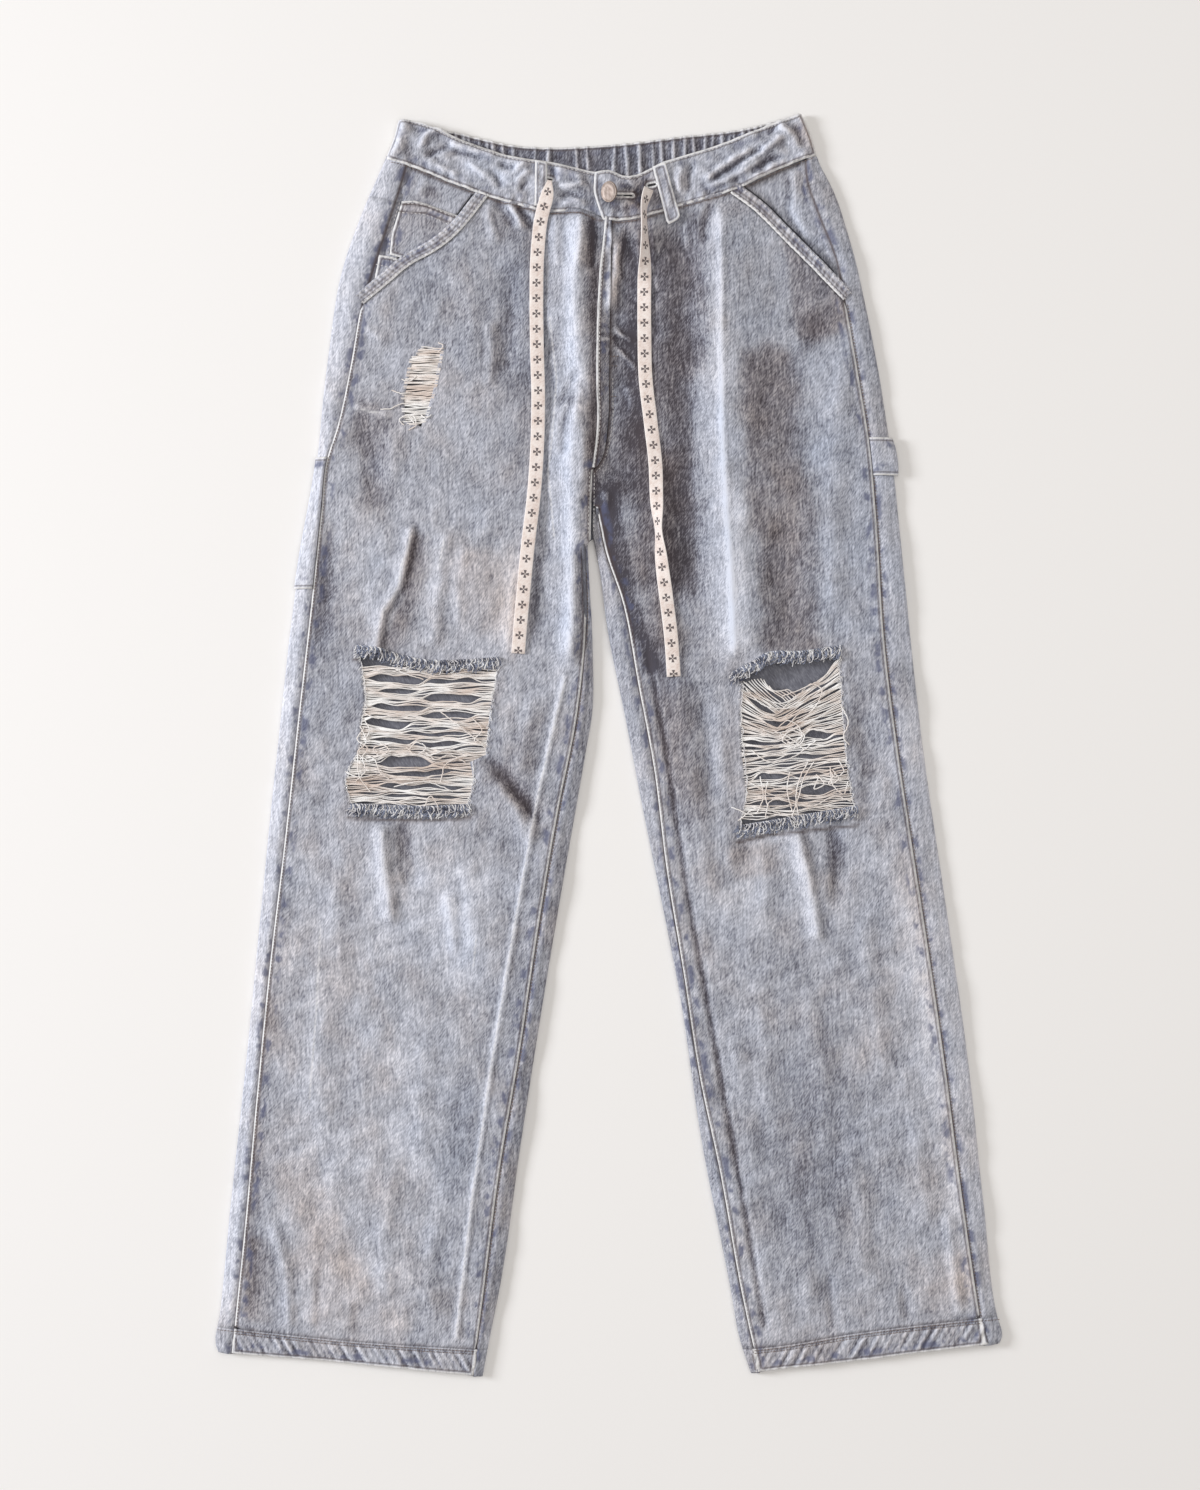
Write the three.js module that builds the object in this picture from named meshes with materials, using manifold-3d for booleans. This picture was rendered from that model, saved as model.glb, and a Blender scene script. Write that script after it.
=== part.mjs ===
// Ripped drawstring jeans, laid flat on their back. Millimetres, +Z up, +Y towards the waist.
// Left and right are as seen from above: left is -X.
// The back panels lie on the ground, turn up round the two edges of each leg and run back over
// the top to the side seam and the inseam, where the front panels take over.
import * as THREE from 'three';
import { mergeVertices } from 'three/addons/utils/BufferGeometryUtils.js';
import Module from 'manifold-3d';

const wasm = await Module();
wasm.setup();

// Driving dimensions
const WALL = 1.2; // denim
const ABOVE_GROUND = 3.5; // a height between the back panel's ground layer and its turned edges
const BAND = 2.0; // doubled denim: waistband
const HEM = 1.8; // doubled denim: hem
const PATCH = 1.0; // pressed pocket cloth
const GAP = 0.3; // between pieces
const FOLD_RADIUS = 3.1; // outside of the turned edges
const TOP = 2 * FOLD_RADIUS; // upper face of the front panels at their seams
const LEVEL = 4.4; // upper face of the front panels between folds
const LOW = 2.8; // upper face at the bottom of the deepest trough
const CELL_X = 14; // facets of the cloth, across
const CELL_Y = 52; // facets of the cloth, along
const FACING_TOP = 4.0; // pocket facing, where the front panel covers it
const OVERLAP_SHIFT = 1.2; // how far the two waistband ends part in height where they lap
const WAISTBAND = 40; // height of the back waistband
const PLEAT = 11; // spacing of the gathers in the back waistband
const PLEAT_HEIGHT = 0.7;
const TAPE_WIDTH = 11.4;
const TAPE_THICKNESS = 1.2;
const LARGEST_ROLL_STEP = 13; // degrees between two sections of a tape
const BUTTON_RADIUS = 8.5;
const BUTTON_THICKNESS = 2.0;
const BUTTON_TILT = 40; // degrees
const SHANK_RADIUS = 1.5;
const BUTTONHOLE = { length: 19, width: 3.6 };
const TAPE_EXIT = { length: 12.5, width: 2.4 }; // slit in the waistband that a drawstring comes out of
const CROTCH = 152; // the two legs part below this line
const BEYOND = 600; // further from the origin than any edge
const BUTTON_LAP = 20; // the waistband ends change height this far from the centre front
const BAND_ROUNDING = 2.4; // drop of the waistband's outer corners
const PLEATED = { centre: -8, reach: 145 }; // gathered stretch of the back waistband

// Plan outlines, each from the top down
const OUTER_LEFT = [[-173, 514], [-176, 502], [-184, 480.5], [-202, 439], [-219, 390], [-231, 316],
  [-242, 217], [-255, 143], [-272, 0], [-285, -127], [-298, -260], [-311, -380], [-320, -470],
  [-323, -492], [-321, -498]];
const OUTER_RIGHT = [[158, 518.4], [166, 500], [172, 480], [184.5, 455], [198, 414], [215, 340],
  [234.5, 217], [242, 143], [257.5, 0], [276, -127], [295, -260], [308, -380], [319, -470], [323, -486],
  [321, -491]];
const INNER_LEFT = [[-16, 152], [-13.5, 80], [-14, 25], [-19, -5], [-36, -102], [-52.5, -200], [-72, -324],
  [-90, -447], [-99, -492], [-103, -514]];
const INNER_RIGHT = [[-9, 152], [-2, 100], [14, 20], [28, -53], [43, -127], [57.5, -201], [76, -324],
  [100, -447], [108, -490], [116, -514]];
const SIDE_SEAM_LEFT = [[-165, 482], [-176, 447], [-190, 405], [-203, 360], [-212, 310], [-223, 260],
  [-231, 235], [-236, 190], [-243, 125], [-255, 20], [-266, -80], [-278, -180], [-289, -290],
  [-299, -400], [-307, -478], [-309, -500]];
const SIDE_SEAM_RIGHT = [[161, 490], [162, 470], [172, 440], [187, 400], [194, 362], [206, 293],
  [213, 250], [219, 185], [226, 80], [236, 0], [248, -80], [262, -170], [275, -260], [288, -360],
  [301, -450], [308, -494]];
const INSEAM_LEFT = [[-20, 152], [-19, 100], [-27, 20], [-41, -50], [-58, -150], [-73, -250], [-90, -350],
  [-103, -450], [-112, -518]];
const INSEAM_RIGHT = [[-3, 160], [11, 118], [24, 50], [37, -20], [47, -100], [60, -180], [74, -270],
  [91, -350], [109, -450], [124, -518]];
const CENTRE_BACK = [[-7, 500], [-12, 160], [-12.5, 150]];
const FLY_EDGE = [[-5, 430], [-8, 380], [-10, 300], [-9.5, 262], [-13.5, 226]];
const FLY_STITCH = [[2, 430], [1, 380], [0, 300], [-1, 262], [-7, 232], [-12.5, 224]];
const CENTRE_FRONT = [[-13.5, 224], [-14.5, 172]];

// Waist edges, each from left to right
const FRONT_TOP_LEFT = [[-173, 514], [-157, 511], [-118, 495], [-80, 482.5], [-49, 478], [-12, 470],
  [12, 467]];
const FRONT_TOP_RIGHT = [[-12, 469], [0, 471], [12, 466], [45, 478], [90, 492], [138, 511], [158, 518.4]];
const WAIST_LEFT = [[-184, 480.5], [-167, 476], [-127, 460], [-78, 443.5], [-48, 437], [-25, 437],
  [-5, 430], [12, 433]];
const WAIST_RIGHT = [[-5, 430], [5, 429.5], [57, 441.5], [100, 454], [152, 477], [172, 484]];
const BACK_TOP = [[-169, 512], [-125, 503], [-80, 493], [0, 493], [60, 500], [110, 506], [154, 517]];
const YOKE_SEAM = [[-205, 452], [-180, 447], [-9, 405], [166, 459], [200, 468]];
const HEM_SEAM_LEFT = [[-330, -476.5], [-200, -490], [-90, -497]];
const HEM_SEAM_RIGHT = [[100, -497], [140, -493], [200, -483], [290, -472], [330, -468]];
const HEM_EDGE_LEFT = [[-321, -498], [-200, -509], [-103, -518.5]];
const HEM_EDGE_RIGHT = [[116, -516], [200, -506], [321, -491]];

// Pockets and their mouths
const MOUTH_LEFT = [[-99.5, 449.5], [-106, 441], [-120, 423], [-140, 406], [-162, 394], [-180, 379],
  [-201, 361.5]];
const MOUTH_RIGHT = [[99.5, 452.5], [120, 437], [140, 417], [155, 402], [192, 364.5]];
const MOUTH_HEM_WIDTH = 10;
const FACING_TUCK = 12; // how far the facing reaches under the front panel
const COIN_POCKET = [[-170, 446], [-145, 442], [-118, 432], [-123, 425], [-140, 409], [-162, 397.5],
  [-180, 402.5], [-178, 420]];
const LOWER_COIN_POCKET = [[-188.5, 402], [-180, 401], [-164, 395.5], [-176, 384], [-195, 368.5]];

// Rips
const KNEE_RIP_LEFT = [[-202, 72], [-150, 64], [-92, 64], [-98, 25], [-101, -8], [-114, -14], [-111, -29],
  [-116, -49], [-212, -50], [-214, -30], [-204, 0], [-200, 37]];
const KNEE_RIP_RIGHT = [[109, 54], [131, 66], [188, 73], [191, 30], [197, -30], [202, -57], [148, -61],
  [107, -70], [112, -40], [108, 0]];
const THIGH_RIP = [[-151, 326], [-138, 322], [-143, 295], [-148, 278], [-154, 261], [-167, 266],
  [-168, 285], [-161, 316]];
const KNEE_SLITS_LEFT = [[[-190, 35], [-100, 26]], [[-198, 21], [-168, 15]], [[-186, -13], [-142, -16]]];
const KNEE_SLITS_RIGHT = [[[118, 60], [168, 62]], [[122, 29], [140, 28]], [[156, -38], [182, -36]]];
const SLIT_WIDTH = 3.5;

// Creases pressed into the front panels: path, half width, height
const FOLDS = [
  [[[-33, 440], [-35, 280], [-36, 100]], 13, 1.7],
  [[[-57, 440], [-60, 300], [-62, 190]], 12, -1.5],
  [[[93, 445], [91, 250], [97, 75]], 13, 1.7],
  [[[128, 395], [124, 240], [134, 80]], 14, -1.4],
  [[[22, 400], [16, 320], [10, 235]], 12, -1.2],
  [[[-187, -70], [-182, -130], [-184, -200]], 14, 1.4],
  [[[-166, -62], [-163, -110]], 9, -1.2],
  [[[155, -80], [168, -150], [160, -230]], 15, 1.4],
  [[[-180, 240], [-186, 60]], 13, -1.0],
  [[[-134, 190], [-146, 80]], 9, 1.0],
  [[[-235, -430], [-238, -480]], 9, -1.0],
  [[[180, 220], [186, 80]], 12, 0.9],
];

// Small pieces
const BELT_LOOP_LEFT = [[-61, 442], [-51, 441], [-50.5, 477], [-60.5, 479]];
const BELT_LOOP_RIGHT = [[47, 427], [58, 433], [46, 476.5], [35.5, 473.5]];
const TOOL_POCKET = { top: 236, bottom: 128, thickness: 1.0 };
const HAMMER_LOOP = { top: 252, bottom: 221, thickness: 1.6, bulge: 3.5 };
const LOOP_TOP = TOP + GAP + WALL;
const BUTTON_CENTRE = [0, 451];
// Tape centre lines: x, y, roll in degrees
const TAPE_LEFT = [[-48.5, 462, 0], [-51, 448, 0], [-55.5, 432, 0], [-58.5, 405, 0], [-59.5, 365, 0],
  [-59, 324, 0], [-58, 283, 0], [-59, 242, 0], [-62, 201, 0], [-66, 168, 0], [-70, 127, 0], [-73, 94, 0],
  [-74.5, 75, 0]];
const TAPE_RIGHT = [[32.5, 455, -35], [29, 443, -60], [29, 420, -62], [29.5, 400, -40], [29, 380, 0],
  [29, 340, 0], [30, 300, 0], [34, 265, 0], [38, 230, 0], [39, 200, 20], [40.5, 175, 50], [43, 150, 25],
  [47, 120, 0], [51, 85, 0], [53, 56, 0]];

const DENIM = { color: 0x969cab, roughness: 0.95, metalness: 0 };
const DENIM_SHADE = { color: 0x7b7f8d, roughness: 0.95, metalness: 0 };
const TAPE = { color: 0xe9d6cb, roughness: 0.9, metalness: 0 };
const THREAD = { color: 0xece4dc, roughness: 0.95, metalness: 0 };
const COPPER = { color: 0xb58f74, roughness: 0.4, metalness: 0.9 };

const jeans = new THREE.Group();

// Lines in plan

function acrossAt(path, y) {
  let index = 1;
  while (index < path.length - 1 && path[index][1] > y) index += 1;
  const [[x0, y0], [x1, y1]] = [path[index - 1], path[index]];
  return x0 + (x1 - x0) * (y - y0) / (y1 - y0);
}

function alongAt(path, x) {
  let index = 1;
  while (index < path.length - 1 && path[index][0] < x) index += 1;
  const [[x0, y0], [x1, y1]] = [path[index - 1], path[index]];
  return y0 + (y1 - y0) * (x - x0) / (x1 - x0);
}

function stretchDown(path, high, low) {
  const inside = path.filter(([, y]) => y < high - 1 && y > low + 1);
  return [[acrossAt(path, high), high], ...inside, [acrossAt(path, low), low]];
}

function stretchAcross(path, from, to) {
  const inside = path.filter(([x]) => x > from + 1 && x < to - 1);
  return [[from, alongAt(path, from)], ...inside, [to, alongAt(path, to)]];
}

function shifted(path, dx, dy) {
  return path.map(([x, y]) => [x + dx, y + dy]);
}

function sideways(path, distance) {
  return path.map(([x, y], index) => {
    const before = path[Math.max(index - 1, 0)];
    const after = path[Math.min(index + 1, path.length - 1)];
    const length = Math.hypot(after[0] - before[0], after[1] - before[1]);
    return [x - (after[1] - before[1]) / length * distance, y + (after[0] - before[0]) / length * distance];
  });
}

function distanceTo(path, x, y) {
  let nearest = Infinity;
  for (let index = 1; index < path.length; index += 1) {
    const [[x0, y0], [x1, y1]] = [path[index - 1], path[index]];
    const span = (x1 - x0) ** 2 + (y1 - y0) ** 2;
    const share = THREE.MathUtils.clamp(((x - x0) * (x1 - x0) + (y - y0) * (y1 - y0)) / span, 0, 1);
    nearest = Math.min(nearest, Math.hypot(x - x0 - share * (x1 - x0), y - y0 - share * (y1 - y0)));
  }
  return nearest;
}

function nearness(path, x, y, reach) {
  return Math.exp(-((distanceTo(path, x, y) / reach) ** 2));
}

// Heights of the cloth's upper faces

const RAISED_LINES = [
  [SIDE_SEAM_LEFT, 20], [SIDE_SEAM_RIGHT, 20], [INSEAM_LEFT, 16], [INSEAM_RIGHT, 16],
  [sideways(MOUTH_LEFT, 6), 36], [sideways(MOUTH_RIGHT, -6), 36], [WAIST_LEFT, 24], [WAIST_RIGHT, 24],
  [HEM_SEAM_LEFT, 24], [HEM_SEAM_RIGHT, 24],
];

function frontTop(x, y) {
  const lift = Math.max(...RAISED_LINES.map(([path, reach]) => nearness(path, x, y, reach)));
  const creases = FOLDS.map(([path, width, height]) => height * nearness(path, x, y, width));
  const folded = LEVEL + creases.reduce((sum, crease) => sum + crease, 0) * (1 - lift);
  return THREE.MathUtils.clamp(folded + (TOP - LEVEL) * Math.min(1, 1.25 * lift), LOW, TOP);
}

function bandEdgeDrop(x, y) {
  const inside = Math.min(x - acrossAt(OUTER_LEFT, y), acrossAt(OUTER_RIGHT, y) - x);
  return BAND_ROUNDING * THREE.MathUtils.clamp(1 - inside / CELL_X, 0, 1);
}

function leftBandTop(x, y) {
  return TOP - bandEdgeDrop(x, y) - (x > -BUTTON_LAP ? OVERLAP_SHIFT : 0);
}

function rightBandTop(x, y) {
  return TOP - bandEdgeDrop(x, y) + (x < BUTTON_LAP ? OVERLAP_SHIFT : 0);
}

function backBandTop(x) {
  const onCrest = Math.round(2 * x / PLEAT) % 2 === 0;
  return BAND + (onCrest && Math.abs(x - PLEATED.centre) < PLEATED.reach ? PLEAT_HEIGHT : 0);
}

function outerTop(x, y) {
  if (Math.abs(x - BELT_LOOP_LEFT[0][0]) < CELL_X && y > BELT_LOOP_LEFT[1][1] - CELL_X) return LOOP_TOP;
  if (x < 0 && y > alongAt(WAIST_LEFT, x)) return leftBandTop(x, y);
  if (x >= 0 && y > alongAt(WAIST_RIGHT, x)) return rightBandTop(x, y);
  return frontTop(x, y);
}

// The highest point of the faceted cloth round a place
function faceted(x, y) {
  const columns = [Math.floor(x / CELL_X) * CELL_X, Math.ceil(x / CELL_X) * CELL_X];
  const rows = [Math.floor(y / CELL_Y) * CELL_Y, Math.ceil(y / CELL_Y) * CELL_Y];
  return Math.max(...columns.flatMap((column) => rows.map((row) => outerTop(column, row))));
}

// Solids

function toSolid(geometry) {
  const plain = geometry.clone();
  for (const name of ['normal', 'uv']) plain.deleteAttribute(name);
  const merged = mergeVertices(plain, 1e-4);
  const solid = new wasm.Manifold(new wasm.Mesh({
    numProp: 3,
    vertProperties: new Float32Array(merged.attributes.position.array),
    triVerts: new Uint32Array(merged.index.array),
  }));
  return solid;
}

function toGeometry(solid) {
  const mesh = solid.getMesh();
  const geometry = new THREE.BufferGeometry();
  geometry.setAttribute('position', new THREE.BufferAttribute(mesh.vertProperties, 3));
  geometry.setIndex(new THREE.BufferAttribute(mesh.triVerts, 1));
  geometry.computeVertexNormals();
  return geometry;
}

function fromTriangles(points, triangles) {
  const geometry = new THREE.BufferGeometry();
  geometry.setAttribute('position', new THREE.Float32BufferAttribute(points.flat(), 3));
  geometry.setIndex(triangles.flat());
  return geometry;
}

function prism(outline, bottom = -5, top = 40) {
  const shape = new THREE.Shape(outline.map(([x, y]) => new THREE.Vector2(x, y)));
  const geometry = new THREE.ExtrudeGeometry(shape, { depth: top - bottom, bevelEnabled: false });
  geometry.translate(0, 0, bottom);
  return toSolid(geometry);
}

// A closed loft through rings of the same number of points, with convex or fan-shaped ends
function loft(rings) {
  const count = rings[0].length;
  const triangles = [];
  for (let ring = 1; ring < rings.length; ring += 1) {
    for (let point = 0; point < count; point += 1) {
      const next = (point + 1) % count;
      const [a, b] = [(ring - 1) * count + point, (ring - 1) * count + next];
      triangles.push([a, b, b + count], [a, b + count, a + count]);
    }
  }
  const end = rings[0].map(([x, , z]) => new THREE.Vector2(x, z));
  const last = (rings.length - 1) * count;
  const clockwise = THREE.ShapeUtils.isClockWise(end);
  for (const face of THREE.ShapeUtils.triangulateShape(end, [])) {
    const [a, b, c] = clockwise ? [...face].reverse() : face;
    triangles.push([a, c, b], [last + a, last + b, last + c]);
  }
  return fromTriangles(rings.flat(), triangles);
}

function volumeOf(geometry) {
  const corners = geometry.toNonIndexed().attributes.position;
  const [a, b, c] = [new THREE.Vector3(), new THREE.Vector3(), new THREE.Vector3()];
  let volume = 0;
  for (let index = 0; index < corners.count; index += 3) {
    a.fromBufferAttribute(corners, index);
    b.fromBufferAttribute(corners, index + 1);
    c.fromBufferAttribute(corners, index + 2);
    volume += a.dot(b.cross(c)) / 6;
  }
  return volume;
}

function outwards(geometry) {
  if (volumeOf(geometry) > 0) return geometry;
  const index = Array.from(geometry.index.array);
  geometry.setIndex(index.reverse());
  return geometry;
}

// A wall of cloth over an outline, its upper face following a height on the common grid of facets
function cloth(outline, top, wall = WALL, cellX = CELL_X, cellY = CELL_Y) {
  const xs = outline.map(([x]) => x);
  const ys = outline.map(([, y]) => y);
  const [left, low] = [Math.floor(Math.min(...xs) / cellX - 1), Math.floor(Math.min(...ys) / cellY - 1)];
  const [right, high] = [Math.ceil(Math.max(...xs) / cellX + 1), Math.ceil(Math.max(...ys) / cellY + 1)];
  const columns = right - left + 1;
  const rows = high - low + 1;
  const upper = [];
  for (let row = 0; row < rows; row += 1) {
    for (let column = 0; column < columns; column += 1) {
      const [x, y] = [(left + column) * cellX, (low + row) * cellY];
      upper.push([x, y, top(x, y)]);
    }
  }
  const points = [...upper, ...upper.map(([x, y, z]) => [x, y, z - wall])];
  const under = upper.length;
  const triangles = [];
  for (let row = 1; row < rows; row += 1) {
    for (let column = 1; column < columns; column += 1) {
      const d = row * columns + column;
      const [a, b, c] = [d - columns - 1, d - columns, d - 1];
      triangles.push([a, b, d], [a, d, c]);
      triangles.push([under + a, under + d, under + b], [under + a, under + c, under + d]);
    }
  }
  const border = [];
  for (let column = 0; column < columns - 1; column += 1) border.push([column, column + 1]);
  for (let row = 1; row < rows; row += 1) border.push([row * columns - 1, (row + 1) * columns - 1]);
  for (let column = columns - 1; column > 0; column -= 1) {
    border.push([(rows - 1) * columns + column, (rows - 1) * columns + column - 1]);
  }
  for (let row = rows - 1; row > 0; row -= 1) border.push([row * columns, (row - 1) * columns]);
  for (const [a, b] of border) triangles.push([a, under + a, b], [b, under + a, under + b]);
  return toSolid(fromTriangles(points, triangles)).intersect(prism(outline));
}

// A turned edge: from the ground, round the fold and back over the top, past the seam by a margin
function turnedEdge(edge, seam, high, low, wall = WALL, radius = FOLD_RADIUS) {
  const margin = 5;
  const between = edge.map(([, y]) => y).filter((y) => y < high - 4 && y > low + 4);
  const heights = [high, ...between, low];
  const rings = heights.map((y) => {
    const x = acrossAt(edge, y);
    const inward = Math.sign(acrossAt(seam, y) - x);
    const reach = Math.abs(acrossAt(seam, y) - x) + margin;
    const arc = [-90, -55, -20, 20, 55, 90].map((angle) => angle * Math.PI / 180);
    const outside = arc.map((turn) => [radius - radius * Math.cos(turn), radius + radius * Math.sin(turn)]);
    const core = radius - wall;
    const inside = arc.map((turn) => [radius - core * Math.cos(turn), radius + core * Math.sin(turn)]);
    const flatTop = [[reach, 2 * radius], [reach, 2 * radius - wall]];
    const section = [[radius + 4, 0], ...outside, ...flatTop, ...inside.reverse(), [radius + 4, wall]];
    return section.map(([distance, z]) => [x + inward * distance, y, z]);
  });
  return toSolid(outwards(loft(rings)));
}

function add(name, solid, finish) {
  const geometry = solid.isBufferGeometry ? solid : toGeometry(solid);
  const mesh = new THREE.Mesh(geometry, new THREE.MeshStandardMaterial(finish));
  mesh.name = name;
  jeans.add(mesh);
}

// Front panels

function frontLeft() {
  const seam = shifted(stretchDown(SIDE_SEAM_LEFT, 360, -476), GAP / 2, 0);
  const hem = shifted(stretchAcross(HEM_SEAM_LEFT, -306.5, -110), 0, GAP / 2);
  const inseam = shifted(stretchDown(INSEAM_LEFT, 150, -495), -GAP / 2, 0).reverse();
  const crotch = shifted([...CENTRE_FRONT].reverse(), -GAP / 2, 0);
  const underlap = shifted([...stretchDown(FLY_STITCH, 428, 236)].reverse(), -GAP / 2, 0);
  const waist = shifted(stretchAcross(WAIST_LEFT, -99, -8), 0, -GAP).reverse();
  const outline = [...MOUTH_LEFT.slice(1), ...seam, ...hem.slice(1), ...inseam.slice(1),
    ...crotch, ...underlap, [-6, 428.5], ...waist.slice(1)];
  return cloth(outline, frontTop).subtract(prism(KNEE_RIP_LEFT)).subtract(prism(THIGH_RIP));
}

function frontRight() {
  const waist = shifted(stretchAcross(WAIST_RIGHT, 3, 99), 0, -GAP);
  const seam = shifted(stretchDown(SIDE_SEAM_RIGHT, 362, -467), -GAP / 2, 0);
  const hem = shifted(stretchAcross(HEM_SEAM_RIGHT, 119, 303), 0, GAP / 2).reverse();
  const inseam = shifted(stretchDown(INSEAM_RIGHT, 158, -494), GAP / 2, 0).reverse();
  const crotch = shifted([...CENTRE_FRONT].reverse(), GAP / 2, 0);
  const fly = shifted([...stretchDown(FLY_STITCH, 429, 224)].reverse(), GAP, 0);
  const outline = [...waist, ...MOUTH_RIGHT.slice(1), ...seam, ...hem.slice(1), ...inseam.slice(1),
    ...crotch, ...fly.slice(1)];
  return cloth(outline, frontTop).subtract(prism(KNEE_RIP_RIGHT));
}

function flyPlacket() {
  const edge = stretchDown(FLY_EDGE, 429, 227);
  const stitch = stretchDown(FLY_STITCH, 429, 227).reverse();
  return cloth([...edge, ...stitch], (x, y) => frontTop(x, y) + GAP + WALL);
}

// Back panels: on the ground, with both edges turned up

// The plan that the front covers, from side seam to inseam, widened by a margin on each side
function frontZone(sideSeam, inseam, side, margin) {
  const middle = -side * 20;
  const towardsSide = shifted(stretchDown(sideSeam, 495, -BEYOND), side * margin, 0);
  const towardsInside = shifted(stretchDown(inseam, CROTCH, -BEYOND), -side * margin, 0).reverse();
  return [...towardsSide, ...towardsInside, [middle, CROTCH], [middle, 495]];
}

function backSheet(outer, inner, sideSeam, inseam, side) {
  const inset = FOLD_RADIUS + 1.5;
  const away = shifted(stretchDown(outer, 500, -500), -side * inset, 0);
  const towards = shifted(stretchDown(inner, CROTCH - 4, -505), side * inset, 0).reverse();
  const middle = shifted([...CENTRE_BACK].reverse(), side * GAP / 2, 0);
  const floor = prism([...away, ...towards, ...middle], 0, WALL);
  const outside = turnedEdge(outer, sideSeam, 490, -500);
  const insideEdge = turnedEdge(inner, inseam, CROTCH - 4, -505);
  const covered = prism(frontZone(sideSeam, inseam, side, GAP / 2), ABOVE_GROUND);
  return floor.add(outside.add(insideEdge).subtract(covered));
}

function aboveYoke(side) {
  const [from, to] = side < 0 ? [-260, 30] : [-30, 260];
  const seam = shifted(stretchAcross(YOKE_SEAM, from, to), 0, GAP / 2);
  const waist = shifted(stretchAcross(BACK_TOP, -230, 230), 0, -WAISTBAND - GAP).reverse();
  return [...seam, ...waist];
}

function belowYoke() {
  const seam = shifted(stretchAcross(YOKE_SEAM, -260, 260), 0, -GAP / 2);
  return [...seam, [BEYOND, -BEYOND], [-BEYOND, -BEYOND]];
}

function aboveHem(side) {
  if (side < 0) {
    const seam = shifted(stretchAcross(HEM_SEAM_LEFT, -335, -60), 0, GAP / 2);
    return [...seam, [60, -400], [60, BEYOND], [-335, BEYOND]];
  }
  const seam = shifted(stretchAcross(HEM_SEAM_RIGHT, 90, 335), 0, GAP / 2);
  return [...seam, [335, BEYOND], [-60, BEYOND], [-60, -400]];
}

function hemReach(seamLine, edgeLine, side) {
  const [from, to] = side < 0 ? [-335, -80] : [90, 335];
  return prism([...shifted(stretchAcross(seamLine, from, to), 0, -GAP / 2),
    ...stretchAcross(edgeLine, from, to).reverse()]);
}

function backHem(outer, inner, sideSeam, inseam, side) {
  const inset = FOLD_RADIUS + 1.5;
  const away = shifted(stretchDown(outer, -460, -520), -side * inset, 0);
  const towards = shifted(stretchDown(inner, -470, -530), side * inset, 0).reverse();
  const floor = prism([...away, ...towards], 0, HEM);
  const outside = turnedEdge(outer, sideSeam, -460, -520, HEM);
  const insideEdge = turnedEdge(inner, inseam, -470, -530, HEM);
  const covered = prism(frontZone(sideSeam, inseam, side, GAP / 2), ABOVE_GROUND);
  return floor.add(outside.add(insideEdge).subtract(covered));
}

function frontHem(sideSeam, inseam, side) {
  return prism(frontZone(sideSeam, inseam, side, -GAP / 2), TOP - WALL, TOP - WALL + HEM);
}

// Waistbands

function slot([x, y], length, width, turn) {
  const half = width / 2;
  const shape = new THREE.Shape();
  shape.absarc(length / 2 - half, 0, half, -Math.PI / 2, Math.PI / 2);
  shape.absarc(half - length / 2, 0, half, Math.PI / 2, 1.5 * Math.PI);
  const geometry = new THREE.ExtrudeGeometry(shape, { depth: 30, bevelEnabled: false, curveSegments: 4 });
  geometry.rotateZ(turn * Math.PI / 180);
  geometry.translate(x, y, 0);
  return toSolid(geometry);
}

function waistbandLeft() {
  const side = stretchDown(OUTER_LEFT, 513, 481).reverse();
  const waist = stretchAcross(WAIST_LEFT, -183.5, 12).reverse();
  const outline = [...side, ...FRONT_TOP_LEFT.slice(1), ...waist.slice(0, -1)];
  const exit = slot([TAPE_LEFT[0][0], TAPE_LEFT[0][1] + 2.5], TAPE_EXIT.length, TAPE_EXIT.width, 0);
  return cloth(outline, leftBandTop, BAND).subtract(exit);
}

function waistbandRight() {
  const side = stretchDown(OUTER_RIGHT, 518.4, 485);
  const waist = stretchAcross(WAIST_RIGHT, -5, 170.5).reverse();
  const outline = [...FRONT_TOP_RIGHT.slice(0, -1), ...side, ...waist.slice(1), [-11, 452]];
  const buttonhole = slot([BUTTON_CENTRE[0] + 7, BUTTON_CENTRE[1]], BUTTONHOLE.length, BUTTONHOLE.width, 0);
  const exit = slot([TAPE_RIGHT[0][0] + 0.5, TAPE_RIGHT[0][1] + 3], TAPE_EXIT.length, TAPE_EXIT.width, 0);
  return cloth(outline, rightBandTop, BAND).subtract(buttonhole).subtract(exit);
}

function waistbandBack() {
  const lower = shifted(BACK_TOP, 0, -WAISTBAND).reverse();
  return cloth([...BACK_TOP, ...lower], backBandTop, BAND, PLEAT / 2, 60);
}

// Pockets

function facingLeft() {
  const tucked = sideways(MOUTH_LEFT, FACING_TUCK).reverse();
  const seam = shifted(stretchDown(SIDE_SEAM_LEFT, 472, 350), GAP / 2, 0);
  const waist = shifted(stretchAcross(WAIST_LEFT, -160, -92), 0, -GAP).reverse();
  return prism([...seam, ...tucked.slice(1, -1), ...waist], FACING_TOP - WALL, FACING_TOP);
}

function facingRight() {
  const tucked = sideways(MOUTH_RIGHT, -FACING_TUCK);
  const seam = shifted(stretchDown(SIDE_SEAM_RIGHT, 478, 352), -GAP / 2, 0).reverse();
  const waist = shifted(stretchAcross(WAIST_RIGHT, 92, 155), 0, -GAP).reverse();
  return prism([...tucked.slice(1, -1), ...seam, ...waist], FACING_TOP - WALL, FACING_TOP);
}

function mouthHem(mouth, side) {
  const inner = sideways(mouth, -side * MOUTH_HEM_WIDTH).reverse();
  return cloth([...mouth, ...inner], (x, y) => frontTop(x, y) + GAP + PATCH, PATCH);
}

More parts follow.
